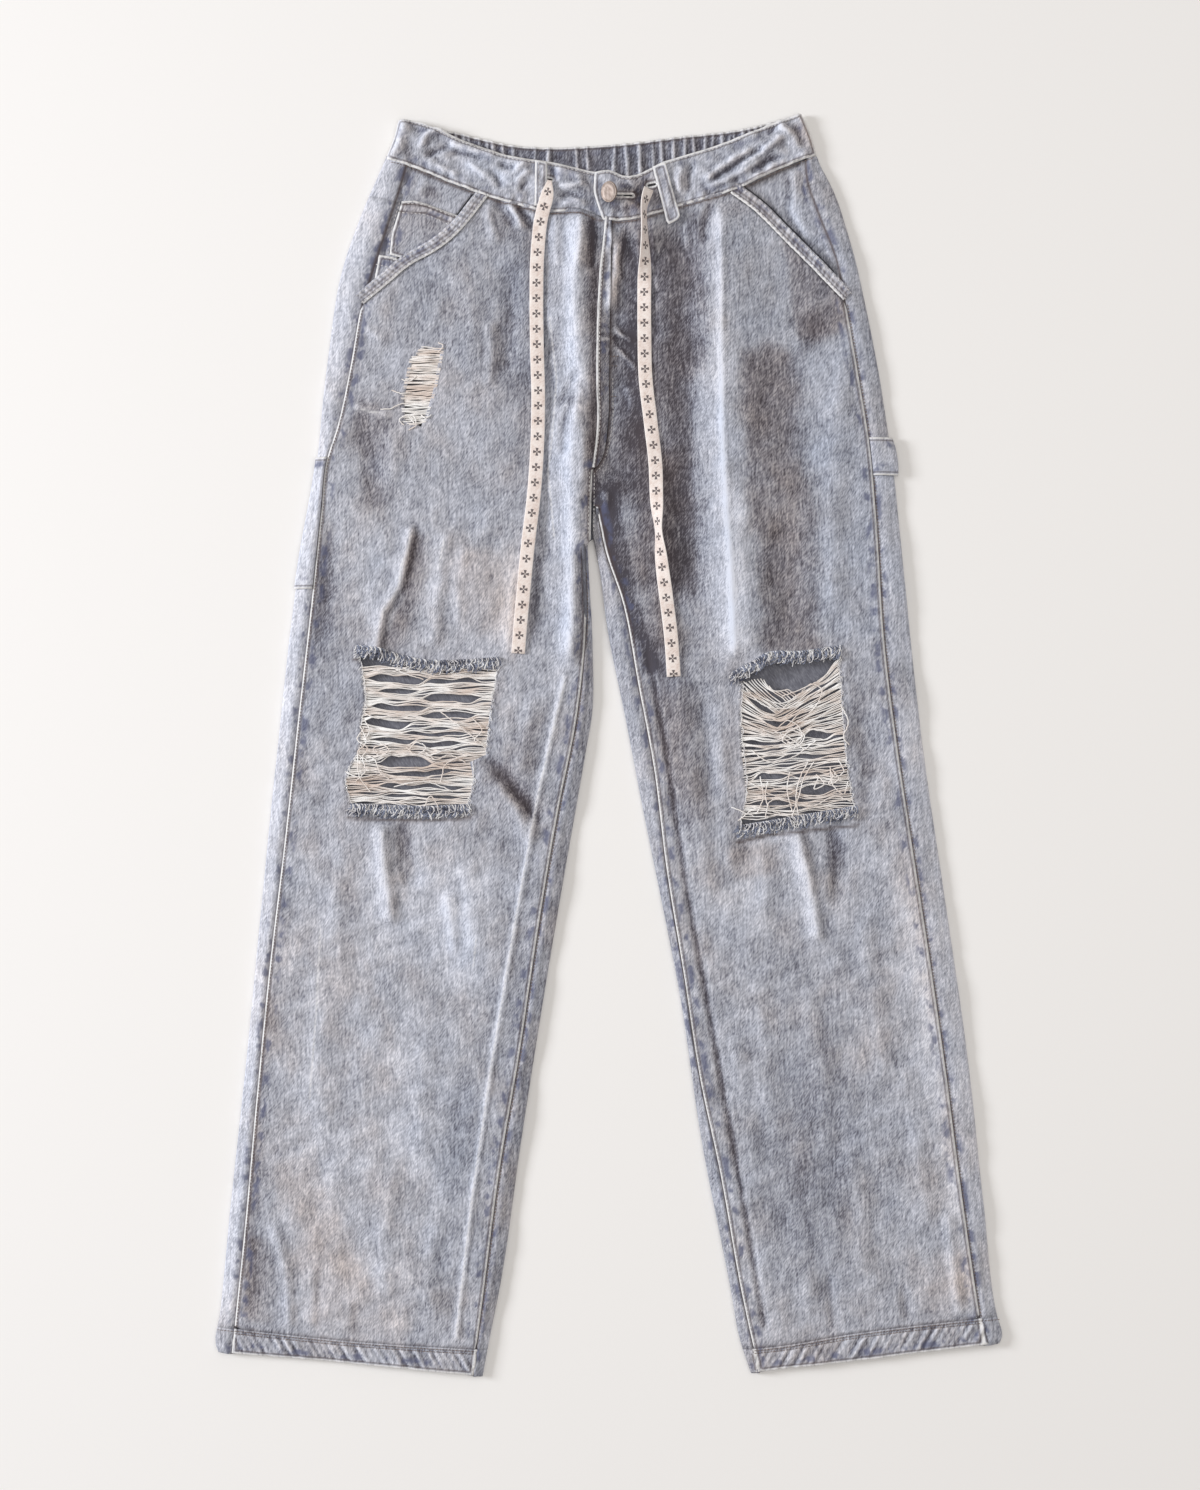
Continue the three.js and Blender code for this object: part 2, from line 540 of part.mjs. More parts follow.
function onFacing(outline) {
  return prism(outline, FACING_TOP + GAP, FACING_TOP + GAP + PATCH);
}

// Loops, side pocket and button

function beltLoop(outline) {
  return prism(outline, TOP + GAP, LOOP_TOP);
}

// A strap or patch laid over a turned edge, from the side seam round to the ground
function overEdge(edge, seam, piece, side) {
  const inner = FOLD_RADIUS + GAP;
  const bulge = piece.bulge ?? 0;
  const outer = inner + piece.thickness;
  const angles = [-20, 20, 55, 90].map((angle) => angle * Math.PI / 180);
  const heights = [piece.top, ...edge.map(([, y]) => y), piece.bottom].filter(
    (y, index, all) => y <= piece.top && y >= piece.bottom && all.indexOf(y) === index);
  const rings = heights.map((y) => {
    const x = acrossAt(edge, y);
    const reach = Math.abs(acrossAt(seam, y) - x) - 1;
    const arc = (radius) => angles.map((turn) => [
      FOLD_RADIUS - (radius + bulge) * Math.cos(turn), FOLD_RADIUS + radius * Math.sin(turn)]);
    const end = [[reach, FOLD_RADIUS + outer], [reach, FOLD_RADIUS + inner]];
    const section = [...arc(outer), ...end, ...arc(inner).reverse()];
    return section.map(([distance, z]) => [x - side * distance, y, z]);
  });
  return outwards(loft(rings));
}

function button() {
  const [x, y] = BUTTON_CENTRE;
  const foot = TOP - OVERLAP_SHIFT + GAP;
  const height = TOP + OVERLAP_SHIFT + GAP + BUTTON_RADIUS * Math.sin(BUTTON_TILT * Math.PI / 180) + 1;
  const shank = new THREE.CylinderGeometry(SHANK_RADIUS, SHANK_RADIUS, height - foot, 10);
  shank.rotateX(Math.PI / 2);
  shank.translate(x, y, (height + foot) / 2);
  const half = BUTTON_THICKNESS / 2;
  const edge = BUTTON_RADIUS - 0.7;
  const side = [[BUTTON_RADIUS, -half / 2], [BUTTON_RADIUS, half / 2]];
  const rim = [[0, -half], [edge, -half], ...side, [edge, half], [0, half]];
  const cap = new THREE.LatheGeometry(rim.map(([radius, z]) => new THREE.Vector2(radius, z)), 28);
  cap.rotateX(Math.PI / 2);
  cap.rotateY(-BUTTON_TILT * Math.PI / 180);
  cap.rotateZ(12 * Math.PI / 180);
  cap.translate(x, y, height);
  return toSolid(shank).add(toSolid(cap));
}

// The same line with points added, so that no step of it rolls the tape far
function evenRoll(centreLine) {
  return centreLine.flatMap((point, index) => {
    const next = centreLine[index + 1] ?? point;
    const steps = Math.max(1, Math.ceil(Math.abs(next[2] - point[2]) / LARGEST_ROLL_STEP));
    const between = (share) => point.map((value, axis) => value + (next[axis] - value) * share);
    return Array.from({ length: steps }, (_, step) => between(step / steps));
  });
}

// Flat tape laid on the cloth, rolled onto its edge where its roll is not 0
function tape(route) {
  const centreLine = evenRoll(route);
  const halfWidth = TAPE_WIDTH / 2;
  const halfThickness = TAPE_THICKNESS / 2;
  const bevel = 0.4;
  const face = halfWidth - bevel;
  const side = bevel / 2;
  const corners = [[-halfWidth, -side], [-face, -halfThickness], [face, -halfThickness], [halfWidth, -side],
    [halfWidth, side], [face, halfThickness], [-face, halfThickness], [-halfWidth, side]];
  const rings = centreLine.map(([x, y, roll], index) => {
    const before = centreLine[Math.max(index - 1, 0)];
    const after = centreLine[Math.min(index + 1, centreLine.length - 1)];
    const run = new THREE.Vector2(after[0] - before[0], after[1] - before[1]).normalize();
    const turn = roll * Math.PI / 180;
    const spread = halfWidth * Math.cos(turn);
    const depth = halfWidth * Math.abs(Math.sin(turn)) + halfThickness * Math.cos(turn);
    const around = [-1, -0.5, 0, 0.5, 1].flatMap((share) => [before, [x, y], after].map(([px, py]) => faceted(
      (px + x) / 2 - run.y * spread * share, (py + y) / 2 + run.x * spread * share)));
    const height = Math.max(...around) + GAP + depth + 0.1;
    return corners.map(([across, up]) => {
      const flat = across * Math.cos(turn) - up * Math.sin(turn);
      const rise = across * Math.sin(turn) + up * Math.cos(turn);
      return [x - run.y * flat, y + run.x * flat, height + rise];
    });
  });
  return outwards(loft(rings));
}

// Threads left across a rip

function threads(outline, slits) {
  const count = outline.length;
  const middle = outline.reduce(([sumX, sumY], [x, y]) => [sumX + x / count, sumY + y / count], [0, 0]);
  const inset = outline.map(([x, y]) => {
    const length = Math.hypot(x - middle[0], y - middle[1]);
    return [x - (x - middle[0]) / length * 0.8, y - (y - middle[1]) / length * 0.8];
  });
  let solid = cloth(inset, (x, y) => frontTop(x, y) - 0.1, 1, 2 * CELL_X, CELL_Y);
  for (const [[x0, y0], [x1, y1]] of slits) {
    const turn = Math.atan2(y1 - y0, x1 - x0) * 180 / Math.PI;
    const length = Math.hypot(x1 - x0, y1 - y0);
    solid = solid.subtract(slot([(x0 + x1) / 2, (y0 + y1) / 2], length, SLIT_WIDTH, turn));
  }
  return solid;
}

// The garment

const backLeft = backSheet(OUTER_LEFT, INNER_LEFT, SIDE_SEAM_LEFT, INSEAM_LEFT, -1);
const backRight = backSheet(OUTER_RIGHT, INNER_RIGHT, SIDE_SEAM_RIGHT, INSEAM_RIGHT, 1);

add('front_leg_left', frontLeft(), DENIM);
add('front_leg_right', frontRight(), DENIM);
add('fly_placket', flyPlacket(), DENIM);
add('back_leg_left', backLeft.intersect(prism(belowYoke())).intersect(prism(aboveHem(-1))), DENIM);
add('back_leg_right', backRight.intersect(prism(belowYoke())).intersect(prism(aboveHem(1))), DENIM);
add('back_yoke_left', backLeft.intersect(prism(aboveYoke(-1))), DENIM);
add('back_yoke_right', backRight.intersect(prism(aboveYoke(1))), DENIM);
add('waistband_front_left', waistbandLeft(), DENIM);
add('waistband_front_right', waistbandRight(), DENIM);
add('waistband_back', waistbandBack(), DENIM_SHADE);
add('pocket_facing_left', facingLeft(), DENIM);
add('pocket_facing_right', facingRight(), DENIM);
add('pocket_mouth_left', mouthHem(MOUTH_LEFT, -1), DENIM);
add('pocket_mouth_right', mouthHem(MOUTH_RIGHT, 1), DENIM);
add('coin_pocket', onFacing(COIN_POCKET), DENIM);
add('coin_pocket_lower', onFacing(LOWER_COIN_POCKET), DENIM);
add('belt_loop_left', beltLoop(BELT_LOOP_LEFT), DENIM);
add('belt_loop_right', beltLoop(BELT_LOOP_RIGHT), DENIM);
add('tool_pocket', overEdge(OUTER_LEFT, SIDE_SEAM_LEFT, TOOL_POCKET, -1), DENIM);
add('hammer_loop', overEdge(OUTER_RIGHT, SIDE_SEAM_RIGHT, HAMMER_LOOP, 1), DENIM);
const reachLeft = hemReach(HEM_SEAM_LEFT, HEM_EDGE_LEFT, -1);
const reachRight = hemReach(HEM_SEAM_RIGHT, HEM_EDGE_RIGHT, 1);
add('hem_front_left', frontHem(SIDE_SEAM_LEFT, INSEAM_LEFT, -1).intersect(reachLeft), DENIM);
add('hem_front_right', frontHem(SIDE_SEAM_RIGHT, INSEAM_RIGHT, 1).intersect(reachRight), DENIM);
const hemBackLeft = backHem(OUTER_LEFT, INNER_LEFT, SIDE_SEAM_LEFT, INSEAM_LEFT, -1);
const hemBackRight = backHem(OUTER_RIGHT, INNER_RIGHT, SIDE_SEAM_RIGHT, INSEAM_RIGHT, 1);
add('hem_back_left', hemBackLeft.intersect(reachLeft), DENIM);
add('hem_back_right', hemBackRight.intersect(reachRight), DENIM);
add('knee_threads_left', threads(KNEE_RIP_LEFT, KNEE_SLITS_LEFT), THREAD);
add('knee_threads_right', threads(KNEE_RIP_RIGHT, KNEE_SLITS_RIGHT), THREAD);
add('thigh_threads', threads(THIGH_RIP, []), THREAD);
add('button', button(), COPPER);
add('drawstring_left', tape(TAPE_LEFT), TAPE);
add('drawstring_right', tape(TAPE_RIGHT), TAPE);

export default jeans;
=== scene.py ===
# Ripped drawstring jeans, laid flat on their back. Plans and heights are drawn in millimetres, in
# the frame of the solid parts, and every mesh is made from them in metres. Left is -X.
import math

import bpy
import numpy as np
from mathutils import Matrix, Vector
from mathutils.geometry import delaunay_2d_cdt


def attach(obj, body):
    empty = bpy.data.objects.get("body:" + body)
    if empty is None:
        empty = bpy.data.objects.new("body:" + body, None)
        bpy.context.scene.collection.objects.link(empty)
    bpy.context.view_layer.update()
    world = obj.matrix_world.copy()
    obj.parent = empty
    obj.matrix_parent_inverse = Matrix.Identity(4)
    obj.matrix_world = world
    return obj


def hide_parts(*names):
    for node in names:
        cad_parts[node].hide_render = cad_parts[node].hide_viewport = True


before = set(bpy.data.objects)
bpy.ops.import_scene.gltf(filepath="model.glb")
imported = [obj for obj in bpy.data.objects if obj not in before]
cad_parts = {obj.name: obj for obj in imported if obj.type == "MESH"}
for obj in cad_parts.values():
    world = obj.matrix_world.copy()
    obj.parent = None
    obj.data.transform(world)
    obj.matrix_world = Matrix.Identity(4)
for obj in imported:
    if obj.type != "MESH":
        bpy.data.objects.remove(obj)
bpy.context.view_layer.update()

MILLIMETRE = 0.001
DENIM_WALL = 1.2
BAND_WALL = 2.0
HEM_WALL = 1.8
PATCH_WALL = 1.0
SEAM_TOP = 6.2  # height of the cloth at its seams
SEAM_STEP = 1.2  # a front panel's edge stands this far above the back's at a seam
TURN = 4.5  # how far the rounding of a turned edge reaches in
WAISTBAND = 40
TAPE_WIDTH = 11.4
TAPE_THICKNESS = 1.2
CROTCH_LEFT = 164
CROTCH_RIGHT = 194
GROUND = 0.03  # the under layer lies this far above the floor
BURIED_YARN = 0.5  # threads start this far below the cloth's face
MARK_PITCH = 12.6  # from one printed mark of the tape to the next
WEAR_AND_LIGHT_NEAR = 2.5  # how far off a point's neighbours lie, for the wear and painted light and shade of its small creases
WEAR_AND_LIGHT_FAR = 8  # and for its broad folds
BAND_SHADE = (0.04, 0.0)  # the front waistband's dye: lighter, warmer


# Lines in plan


def smooth_line(points, step=6.0):
    """A smooth line through the points, in even steps."""
    points = np.array(points, float)
    lengths = np.linalg.norm(np.diff(points[:, :2], axis=0), axis=1)
    stations = np.concatenate([[0], np.cumsum(lengths)])
    slopes = np.gradient(points, stations, axis=0)
    at = np.linspace(0, stations[-1], max(2, round(stations[-1] / step) + 1))
    piece = np.clip(np.searchsorted(stations, at, side="right") - 1, 0, len(points) - 2)
    span = lengths[piece][:, None]
    share = (at - stations[piece])[:, None] / span
    start = (1 + 2 * share) * (1 - share) ** 2 * points[piece]
    end = share**2 * (3 - 2 * share) * points[piece + 1]
    leaving = share * (1 - share) ** 2 * span * slopes[piece]
    arriving = share**2 * (share - 1) * span * slopes[piece + 1]
    return start + end + leaving + arriving


def interpolated(at, known, values):
    """Straight interpolation that runs on past both ends."""
    at = np.asarray(at, float)
    result = np.interp(at, known, values)
    before = values[0] + (at - known[0]) * (values[1] - values[0]) / (known[1] - known[0])
    after = values[-1] + (at - known[-1]) * (values[-1] - values[-2]) / (known[-1] - known[-2])
    return np.where(at < known[0], before, np.where(at > known[-1], after, result))


def across_at(path, y):
    """x of a line that runs down the garment."""
    return interpolated(y, path[::-1, 1], path[::-1, 0])


def along_at(path, x):
    """y of a line that runs across the garment."""
    return interpolated(x, path[:, 0], path[:, 1])


def stretch_down(path, high, low):
    inside = path[(path[:, 1] < high - 1) & (path[:, 1] > low + 1)]
    return np.vstack([[across_at(path, high), high], inside, [across_at(path, low), low]])


def stretch_across(path, start, end):
    inside = path[(path[:, 0] > start + 1) & (path[:, 0] < end - 1)]
    return np.vstack([[start, along_at(path, start)], inside, [end, along_at(path, end)]])


def shifted(path, dx, dy):
    return np.array(path, float) + [dx, dy]


def sideways(path, distance):
    """A line beside another, on its right where it runs down the garment."""
    path = np.array(path, float)
    run = np.gradient(path, axis=0)
    run /= np.linalg.norm(run, axis=1)[:, None]
    return path + np.column_stack([-run[:, 1], run[:, 0]]) * distance


def soft_step(value, start, end):
    share = np.clip((value - start) / (end - start), 0, 1)
    return share**2 * (3 - 2 * share)


def from_line(path, x, y):
    """Signed distance from a line, and how far along it the nearest place lies, and its length."""
    nearest = np.full(np.shape(x), 1e9)
    side = np.ones(np.shape(x))
    along = np.zeros(np.shape(x))
    start = 0.0
    for (x0, y0), (x1, y1) in zip(path[:-1], path[1:]):
        dx, dy = x1 - x0, y1 - y0
        span = math.hypot(dx, dy)
        share = np.clip(((x - x0) * dx + (y - y0) * dy) / span**2, 0, 1)
        away = np.hypot(x - x0 - share * dx, y - y0 - share * dy)
        closer = away < nearest
        nearest = np.where(closer, away, nearest)
        side = np.where(closer, np.sign(dx * (y - y0) - dy * (x - x0)), side)
        along = np.where(closer, start + share * span, along)
        start += span
    return nearest * side, along, start


def distance_to(path, x, y):
    return np.abs(from_line(path, x, y)[0])


def soft_ridge(path, left, right, x, y):
    """1 on a line, fading with its own reach to the left and to the right, and towards its ends."""
    offset, along, length = from_line(path, x, y)
    reach = np.where(offset < 0, left, right)
    taper = min(length / 2, 2.5 * min(left, right))
    ends = soft_step(np.minimum(along, length - along), -taper * 0.1, taper)
    return np.exp(-((offset / reach) ** 2)) * ends


# Edges and seams, each from the top down

OUTER_LEFT = smooth_line([
    (-173, 514), (-176, 502), (-184, 480.5), (-202, 439), (-219, 390), (-231, 316), (-242, 217),
    (-255, 143), (-272, 0), (-285, -127), (-298, -260), (-311, -380), (-320, -470), (-323, -492),
    (-321, -498)])
OUTER_RIGHT = smooth_line([
    (158, 518.4), (166, 500), (172, 480), (184.5, 455), (198, 414), (215, 340), (234.5, 217),
    (242, 143), (257.5, 0), (276, -127), (295, -260), (308, -380), (319, -470), (323, -486),
    (321, -491)])
INNER_LEFT = smooth_line([
    (-17.5, 166), (-17, 150), (-13.5, 80), (-14, 25), (-19, -5), (-36, -102), (-52.5, -200), (-72, -324),
    (-90, -447), (-99, -492), (-103, -514)])
INNER_RIGHT = smooth_line([
    (-13.5, 196), (-13.5, 172), (-11, 160), (-8, 145), (-2, 100), (14, 20), (28, -53), (43, -127),
    (57.5, -201), (76, -324), (100, -447), (108, -490), (116, -514)])
SIDE_SEAM_LEFT = smooth_line([
    (-165, 482), (-176, 447), (-190, 405), (-203, 360), (-212, 310), (-223, 260), (-231, 235),
    (-236, 190), (-243, 125), (-255, 20), (-266, -80), (-278, -180), (-289, -290), (-299, -400),
    (-307, -478), (-309, -500)])
SIDE_SEAM_RIGHT = smooth_line([
    (161, 490), (162, 470), (172, 440), (187, 400), (194, 362), (206, 293), (213, 250),
    (219, 185), (226, 80), (236, 0), (248, -80), (262, -170), (275, -260), (288, -360),
    (301, -450), (308, -494)])
INSEAM_LEFT = smooth_line([
    (-20, 152), (-19, 100), (-27, 20), (-41, -50), (-58, -150), (-73, -250), (-90, -350),
    (-103, -450), (-112, -518)])
INSEAM_RIGHT = smooth_line([
    (-11, 198), (-8, 184), (-3, 160), (11, 118), (24, 50), (37, -20), (47, -100), (60, -180),
    (74, -270), (91, -350), (109, -450), (124, -518)])
CENTRE_BACK = np.array([(-7, 500), (-12, 160), (-12.5, 150)])
FLY_EDGE = smooth_line([(-3, 433), (-8, 380), (-10, 300), (-9.5, 262), (-13.5, 226)])
FLY_STITCH = smooth_line([(2, 430), (1, 380), (0, 300), (-1, 262), (-7, 232), (-12.5, 224)])
CENTRE_FRONT = np.array([(-13.5, 224), (-14.5, 200), (-15, 168)])

# Waist, yoke and hems, each from left to right

FRONT_TOP_LEFT = smooth_line([
    (-173, 514), (-157, 511), (-118, 495), (-80, 482.5), (-49, 478), (-12, 470), (12, 467)])
FRONT_TOP_RIGHT = smooth_line([
    (-12, 469), (0, 471), (12, 466), (45, 478), (90, 492), (138, 511), (158, 518.4)])
WAIST_LEFT = smooth_line([
    (-184, 480.5), (-167, 476), (-127, 460), (-78, 443.5), (-48, 437), (-25, 437), (-5, 430),
    (12, 433)])
WAIST_RIGHT = smooth_line([(-5, 430), (5, 429.5), (57, 441.5), (100, 454), (152, 477), (172, 484)])
BACK_TOP = smooth_line([
    (-169, 512), (-125, 503), (-80, 493), (0, 493), (60, 500), (110, 506), (154, 517)])
YOKE_SEAM = np.array([(-205, 452), (-180, 447), (-9, 405), (166, 459), (200, 468)])
HEM_SEAM_LEFT = smooth_line([(-330, -476.5), (-200, -490), (-90, -497)])
HEM_SEAM_RIGHT = smooth_line([(100, -497), (140, -493), (200, -483), (290, -472), (330, -468)])
HEM_EDGE_LEFT = smooth_line([(-330, -497), (-321, -498), (-200, -509), (-103, -518.5)])
HEM_EDGE_RIGHT = smooth_line([(110, -517), (116, -516), (200, -506), (321, -491), (330, -490)])

# Pockets, rips and small pieces

MOUTH_LEFT = smooth_line([
    (-99.5, 449.5), (-106, 441), (-120, 423), (-140, 406), (-162, 394), (-180, 379), (-201, 361.5)])
MOUTH_RIGHT = smooth_line([(99.5, 452.5), (120, 437), (140, 417), (155, 402), (192, 364.5)])
MOUTH_HEM_WIDTH = 10
COIN_POCKET = [
    (-170, 446), (-160, 446.5), (-150, 444), (-132, 437), (-116, 432), (-123, 425), (-140, 409),
    (-162, 397.5), (-180, 402.5), (-178, 420)]
LOWER_COIN_POCKET = [(-188.5, 402), (-178, 400.5), (-164, 395.5), (-176, 384), (-195, 368.5)]
KNEE_RIP_LEFT = [
    (-204, 74), (-190, 71), (-150, 64), (-120, 63), (-92, 64), (-94, 45), (-98, 25), (-101, -8),
    (-114, -14), (-111, -29), (-116, -49), (-160, -51), (-212, -50), (-216, -30), (-204, 0),
    (-203, 20), (-200, 37)]
KNEE_RIP_RIGHT = [
    (109, 54), (131, 66), (155, 70), (188, 73), (190, 50), (191, 30), (193, 0), (197, -30),
    (202, -55), (175, -59), (148, -61), (107, -70), (113, -40), (109, -10), (108, 20)]
THIGH_RIP = [
    (-151, 326), (-138, 322), (-141, 308), (-143, 295), (-148, 278), (-154, 261), (-167, 266),
    (-168, 285), (-164, 301), (-161, 316)]
BELT_LOOP_LEFT = [(-61, 442), (-51, 441), (-50.5, 477), (-60.5, 479)]
BELT_LOOP_RIGHT = [(47, 429), (49, 426), (56, 430), (58, 433), (46, 476.5), (35.5, 473.5)]
BUTTON_CENTRE = (0, 451)
TAPE_LEFT = [
    (-48.5, 462, 0), (-51, 448, 0), (-55.5, 432, 0), (-58.5, 405, 0), (-59.5, 365, 0),
    (-59, 324, 0), (-58, 283, 0), (-59, 242, 0), (-62, 201, 0), (-66, 168, 0), (-70, 127, 0),
    (-73, 94, 0), (-74.5, 75, 0)]
TAPE_RIGHT = [
    (32.5, 455, -35), (29, 443, -60), (29, 420, -62), (29.5, 400, -40), (29, 380, 0), (29, 340, 0),
    (30, 300, 0), (34, 265, 0), (38, 230, 0), (39, 200, 20), (40.5, 175, 50), (43, 150, 25),
    (47, 120, 0), (51, 85, 0), (53, 56, 0)]

# Creases of the legs: line, height, reach to the left, reach to the right
LEG_CREASES = [
    ([(-25, 445), (-27, 360), (-22, 300), (-29, 250), (-30, 205), (-26, 140), (-31, 60)], 8.0, 10, 18),
    ([(-20, 300), (-30, 284), (-37, 262), (-38, 236)], -3.0, 3, 6),
    ([(-23, 262), (-20, 240), (-22, 214)], 1.6, 4, 5),
    ([(-56, 445), (-57, 360), (-50, 300), (-54, 250), (-57, 225), (-52, 160), (-56, 90)], -3.0, 8, 8),
    ([(12, 432), (14, 380), (12, 320), (6, 260), (0, 205)], -4.0, 14, 18),
    ([(91, 448), (92, 330), (93, 250), (97, 190), (100, 130), (103, 50)], 7.5, 16, 34),
    ([(91, 440), (92, 330), (93, 250), (97, 190), (100, 130), (103, 70)], 1.0, 2.5, 3),
    ([(62, 440), (66, 330), (66, 220), (72, 110)], -2.5, 16, 8),
    ([(1, 426), (5, 408), (4, 384), (1, 352)], 4.4, 4, 5),
    ([(8, 426), (10, 412), (7, 398), (9, 380)], 2.0, 2, 3),
    ([(12, 420), (14, 400), (11, 370), (12, 350)], -2.6, 3, 4),
    ([(24, 424), (25, 395), (22, 360)], 1.8, 3, 4),
    ([(32, 436), (34, 400), (30, 360)], -1.4, 4, 5),
    ([(2, 345), (10, 336), (22, 330)], 2.4, 3, 3),
    ([(2, 337), (12, 327), (24, 318)], -2.2, 2.5, 3),
    ([(4, 328), (14, 318), (24, 306)], 2.6, 3, 3),
    ([(2, 318), (12, 308), (20, 292)], -2.2, 3, 3),
    ([(14, 300), (18, 280), (14, 262)], 1.6, 4, 4),
    ([(-9, 209), (-12, 202), (-9, 195)], -3.0, 4, 4),
    ([(-4, 210), (-2, 200), (-4, 190)], 2.0, 3, 3),
    ([(-24, 312), (-32, 292), (-42, 276)], -2.4, 4, 4),
    ([(-22, 300), (-28, 280), (-30, 262)], 1.8, 4, 4),
    ([(-93, 448), (-86, 438), (-78, 424)], -3.2, 3, 4),
    ([(-85, 447), (-76, 434), (-70, 420)], 2.6, 3, 3),
    ([(-76, 444), (-68, 434), (-62, 422)], -3.0, 3, 3),
    ([(-100, 446), (-98, 430), (-92, 408)], 1.8, 4, 5),
    ([(-45, 436), (-44, 415), (-42, 390)], 1.6, 3, 4),
    ([(-24, 437), (-23, 415), (-26, 388)], 2.2, 4, 4),
    ([(-13, 434), (-12, 415), (-14, 388)], -2.8, 4, 3),
    ([(66, 440), (63, 425), (64, 405)], 1.6, 3, 4),
    ([(86, 448), (80, 430), (78, 408)], -2.4, 4, 4),
    ([(-84, 395), (-80, 350), (-86, 300)], -2.2, 9, 7),
    ([(-98, 352), (-96, 318), (-100, 290)], 1.8, 5, 5),
    ([(-122, 395), (-112, 350), (-114, 300)], 1.6, 9, 10),
    ([(-161, 182), (-165, 158), (-172, 130), (-185, 108), (-191, 72)], 3.6, 7, 3),
    ([(-133, 182), (-138, 140), (-144, 76)], 2.4, 8, 6),
    ([(-118, 170), (-124, 130), (-122, 90)], 1.4, 6, 6),
    ([(-213, 279), (-195, 274), (-175, 270)], 2.0, 4, 4),
    ([(-208, 268), (-196, 240), (-192, 205)], -3.0, 9, 10),
    ([(-182, 262), (-176, 238), (-180, 212)], 1.8, 6, 8),
    ([(-216, 350), (-200, 342), (-184, 330)], 1.6, 4, 5),
    ([(-100, 200), (-106, 140), (-102, 90)], 1.4, 14, 12),
    ([(-78, 150), (-80, 110), (-84, 70)], 1.8, 6, 5),
    ([(-226, 190), (-232, 130), (-238, 80)], -1.8, 8, 8),
    ([(-187, -62), (-184, -100), (-178, -150)], 4.0, 8, 5),
    ([(-170, -58), (-168, -90), (-164, -120)], -2.4, 5, 8),
    ([(-132, -118), (-126, -175)], 2.2, 5, 5),
    ([(-118, -90), (-110, -150), (-112, -200)], 1.4, 8, 8),
    ([(-104, -4), (-80, -34), (-52, -66)], -2.6, 6, 7),
    ([(-96, -26), (-76, -50), (-64, -84)], 2.4, 6, 7),
    ([(-62, 44), (-70, 6), (-74, -30)], 1.8, 6, 8),
    ([(-216, -70), (-224, -130), (-222, -190)], 1.6, 8, 8),
    ([(-230, -190), (-238, -260), (-236, -330)], 1.4, 9, 9),
    ([(-190, -220), (-202, -270), (-196, -330)], 1.3, 8, 9),
    ([(-150, -210), (-158, -290), (-150, -350)], 1.3, 9, 9),
    ([(-176, -350), (-186, -400), (-182, -460)], 1.4, 8, 8),
    ([(-140, -380), (-148, -430), (-144, -470)], 1.2, 7, 7),
    ([(-224, -330), (-228, -390), (-222, -430)], 1.4, 8, 8),
    ([(-238, -425), (-240, -480)], -0.9, 3, 5),
    ([(-208, -452), (-209, -486)], -0.7, 3, 5),
    ([(-276, -388), (-264, -435), (-262, -482)], 2.0, 5, 5),
    ([(-36, 60), (-58, -40), (-76, -140), (-96, -260), (-112, -370), (-126, -490)], 1.6, 2.6, 2.6),
    ([(152, -66), (163, -110), (172, -165)], 3.6, 8, 5),
    ([(182, -60), (188, -100), (185, -135)], -2.4, 6, 8),
    ([(122, -72), (128, -110), (126, -160)], 1.6, 7, 7),
    ([(146, 205), (142, 140), (150, 78)], -1.8, 12, 14),
    ([(196, 330), (186, 270), (182, 200), (184, 110)], 2.4, 9, 12),
    ([(206, 60), (210, 0), (216, -60)], -1.8, 9, 10),
    ([(46, 110), (58, 40), (70, -40), (82, -120)], 1.8, 9, 8),
    ([(88, 20), (94, -40), (100, -110)], 1.6, 8, 8),
    ([(74, 60), (82, 0), (86, -50)], -1.4, 6, 7),
    ([(118, -180), (128, -240), (132, -320)], 1.5, 8, 9),
    ([(160, -190), (172, -260), (180, -340)], 1.6, 9, 9),
    ([(206, -130), (216, -200), (226, -280)], 1.5, 8, 9),
    ([(100, -230), (112, -300), (124, -370)], 1.2, 7, 7),
    ([(196, -320), (206, -380), (212, -440)], 1.5, 8, 8),
    ([(240, -260), (254, -330), (262, -400)], 1.4, 8, 8),
    ([(150, -370), (160, -420), (166, -470)], 1.4, 8, 8),
    ([(30, 80), (46, 0), (62, -110), (84, -230), (104, -340), (128, -480)], -1.4, 2.6, 3),
    ([(276, -380), (284, -440), (288, -475)], 1.8, 5, 6),
    ([(180, -430), (184, -484)], -1.6, 4, 5),
    ([(240, -440), (246, -476)], -1.6, 4, 5),
]
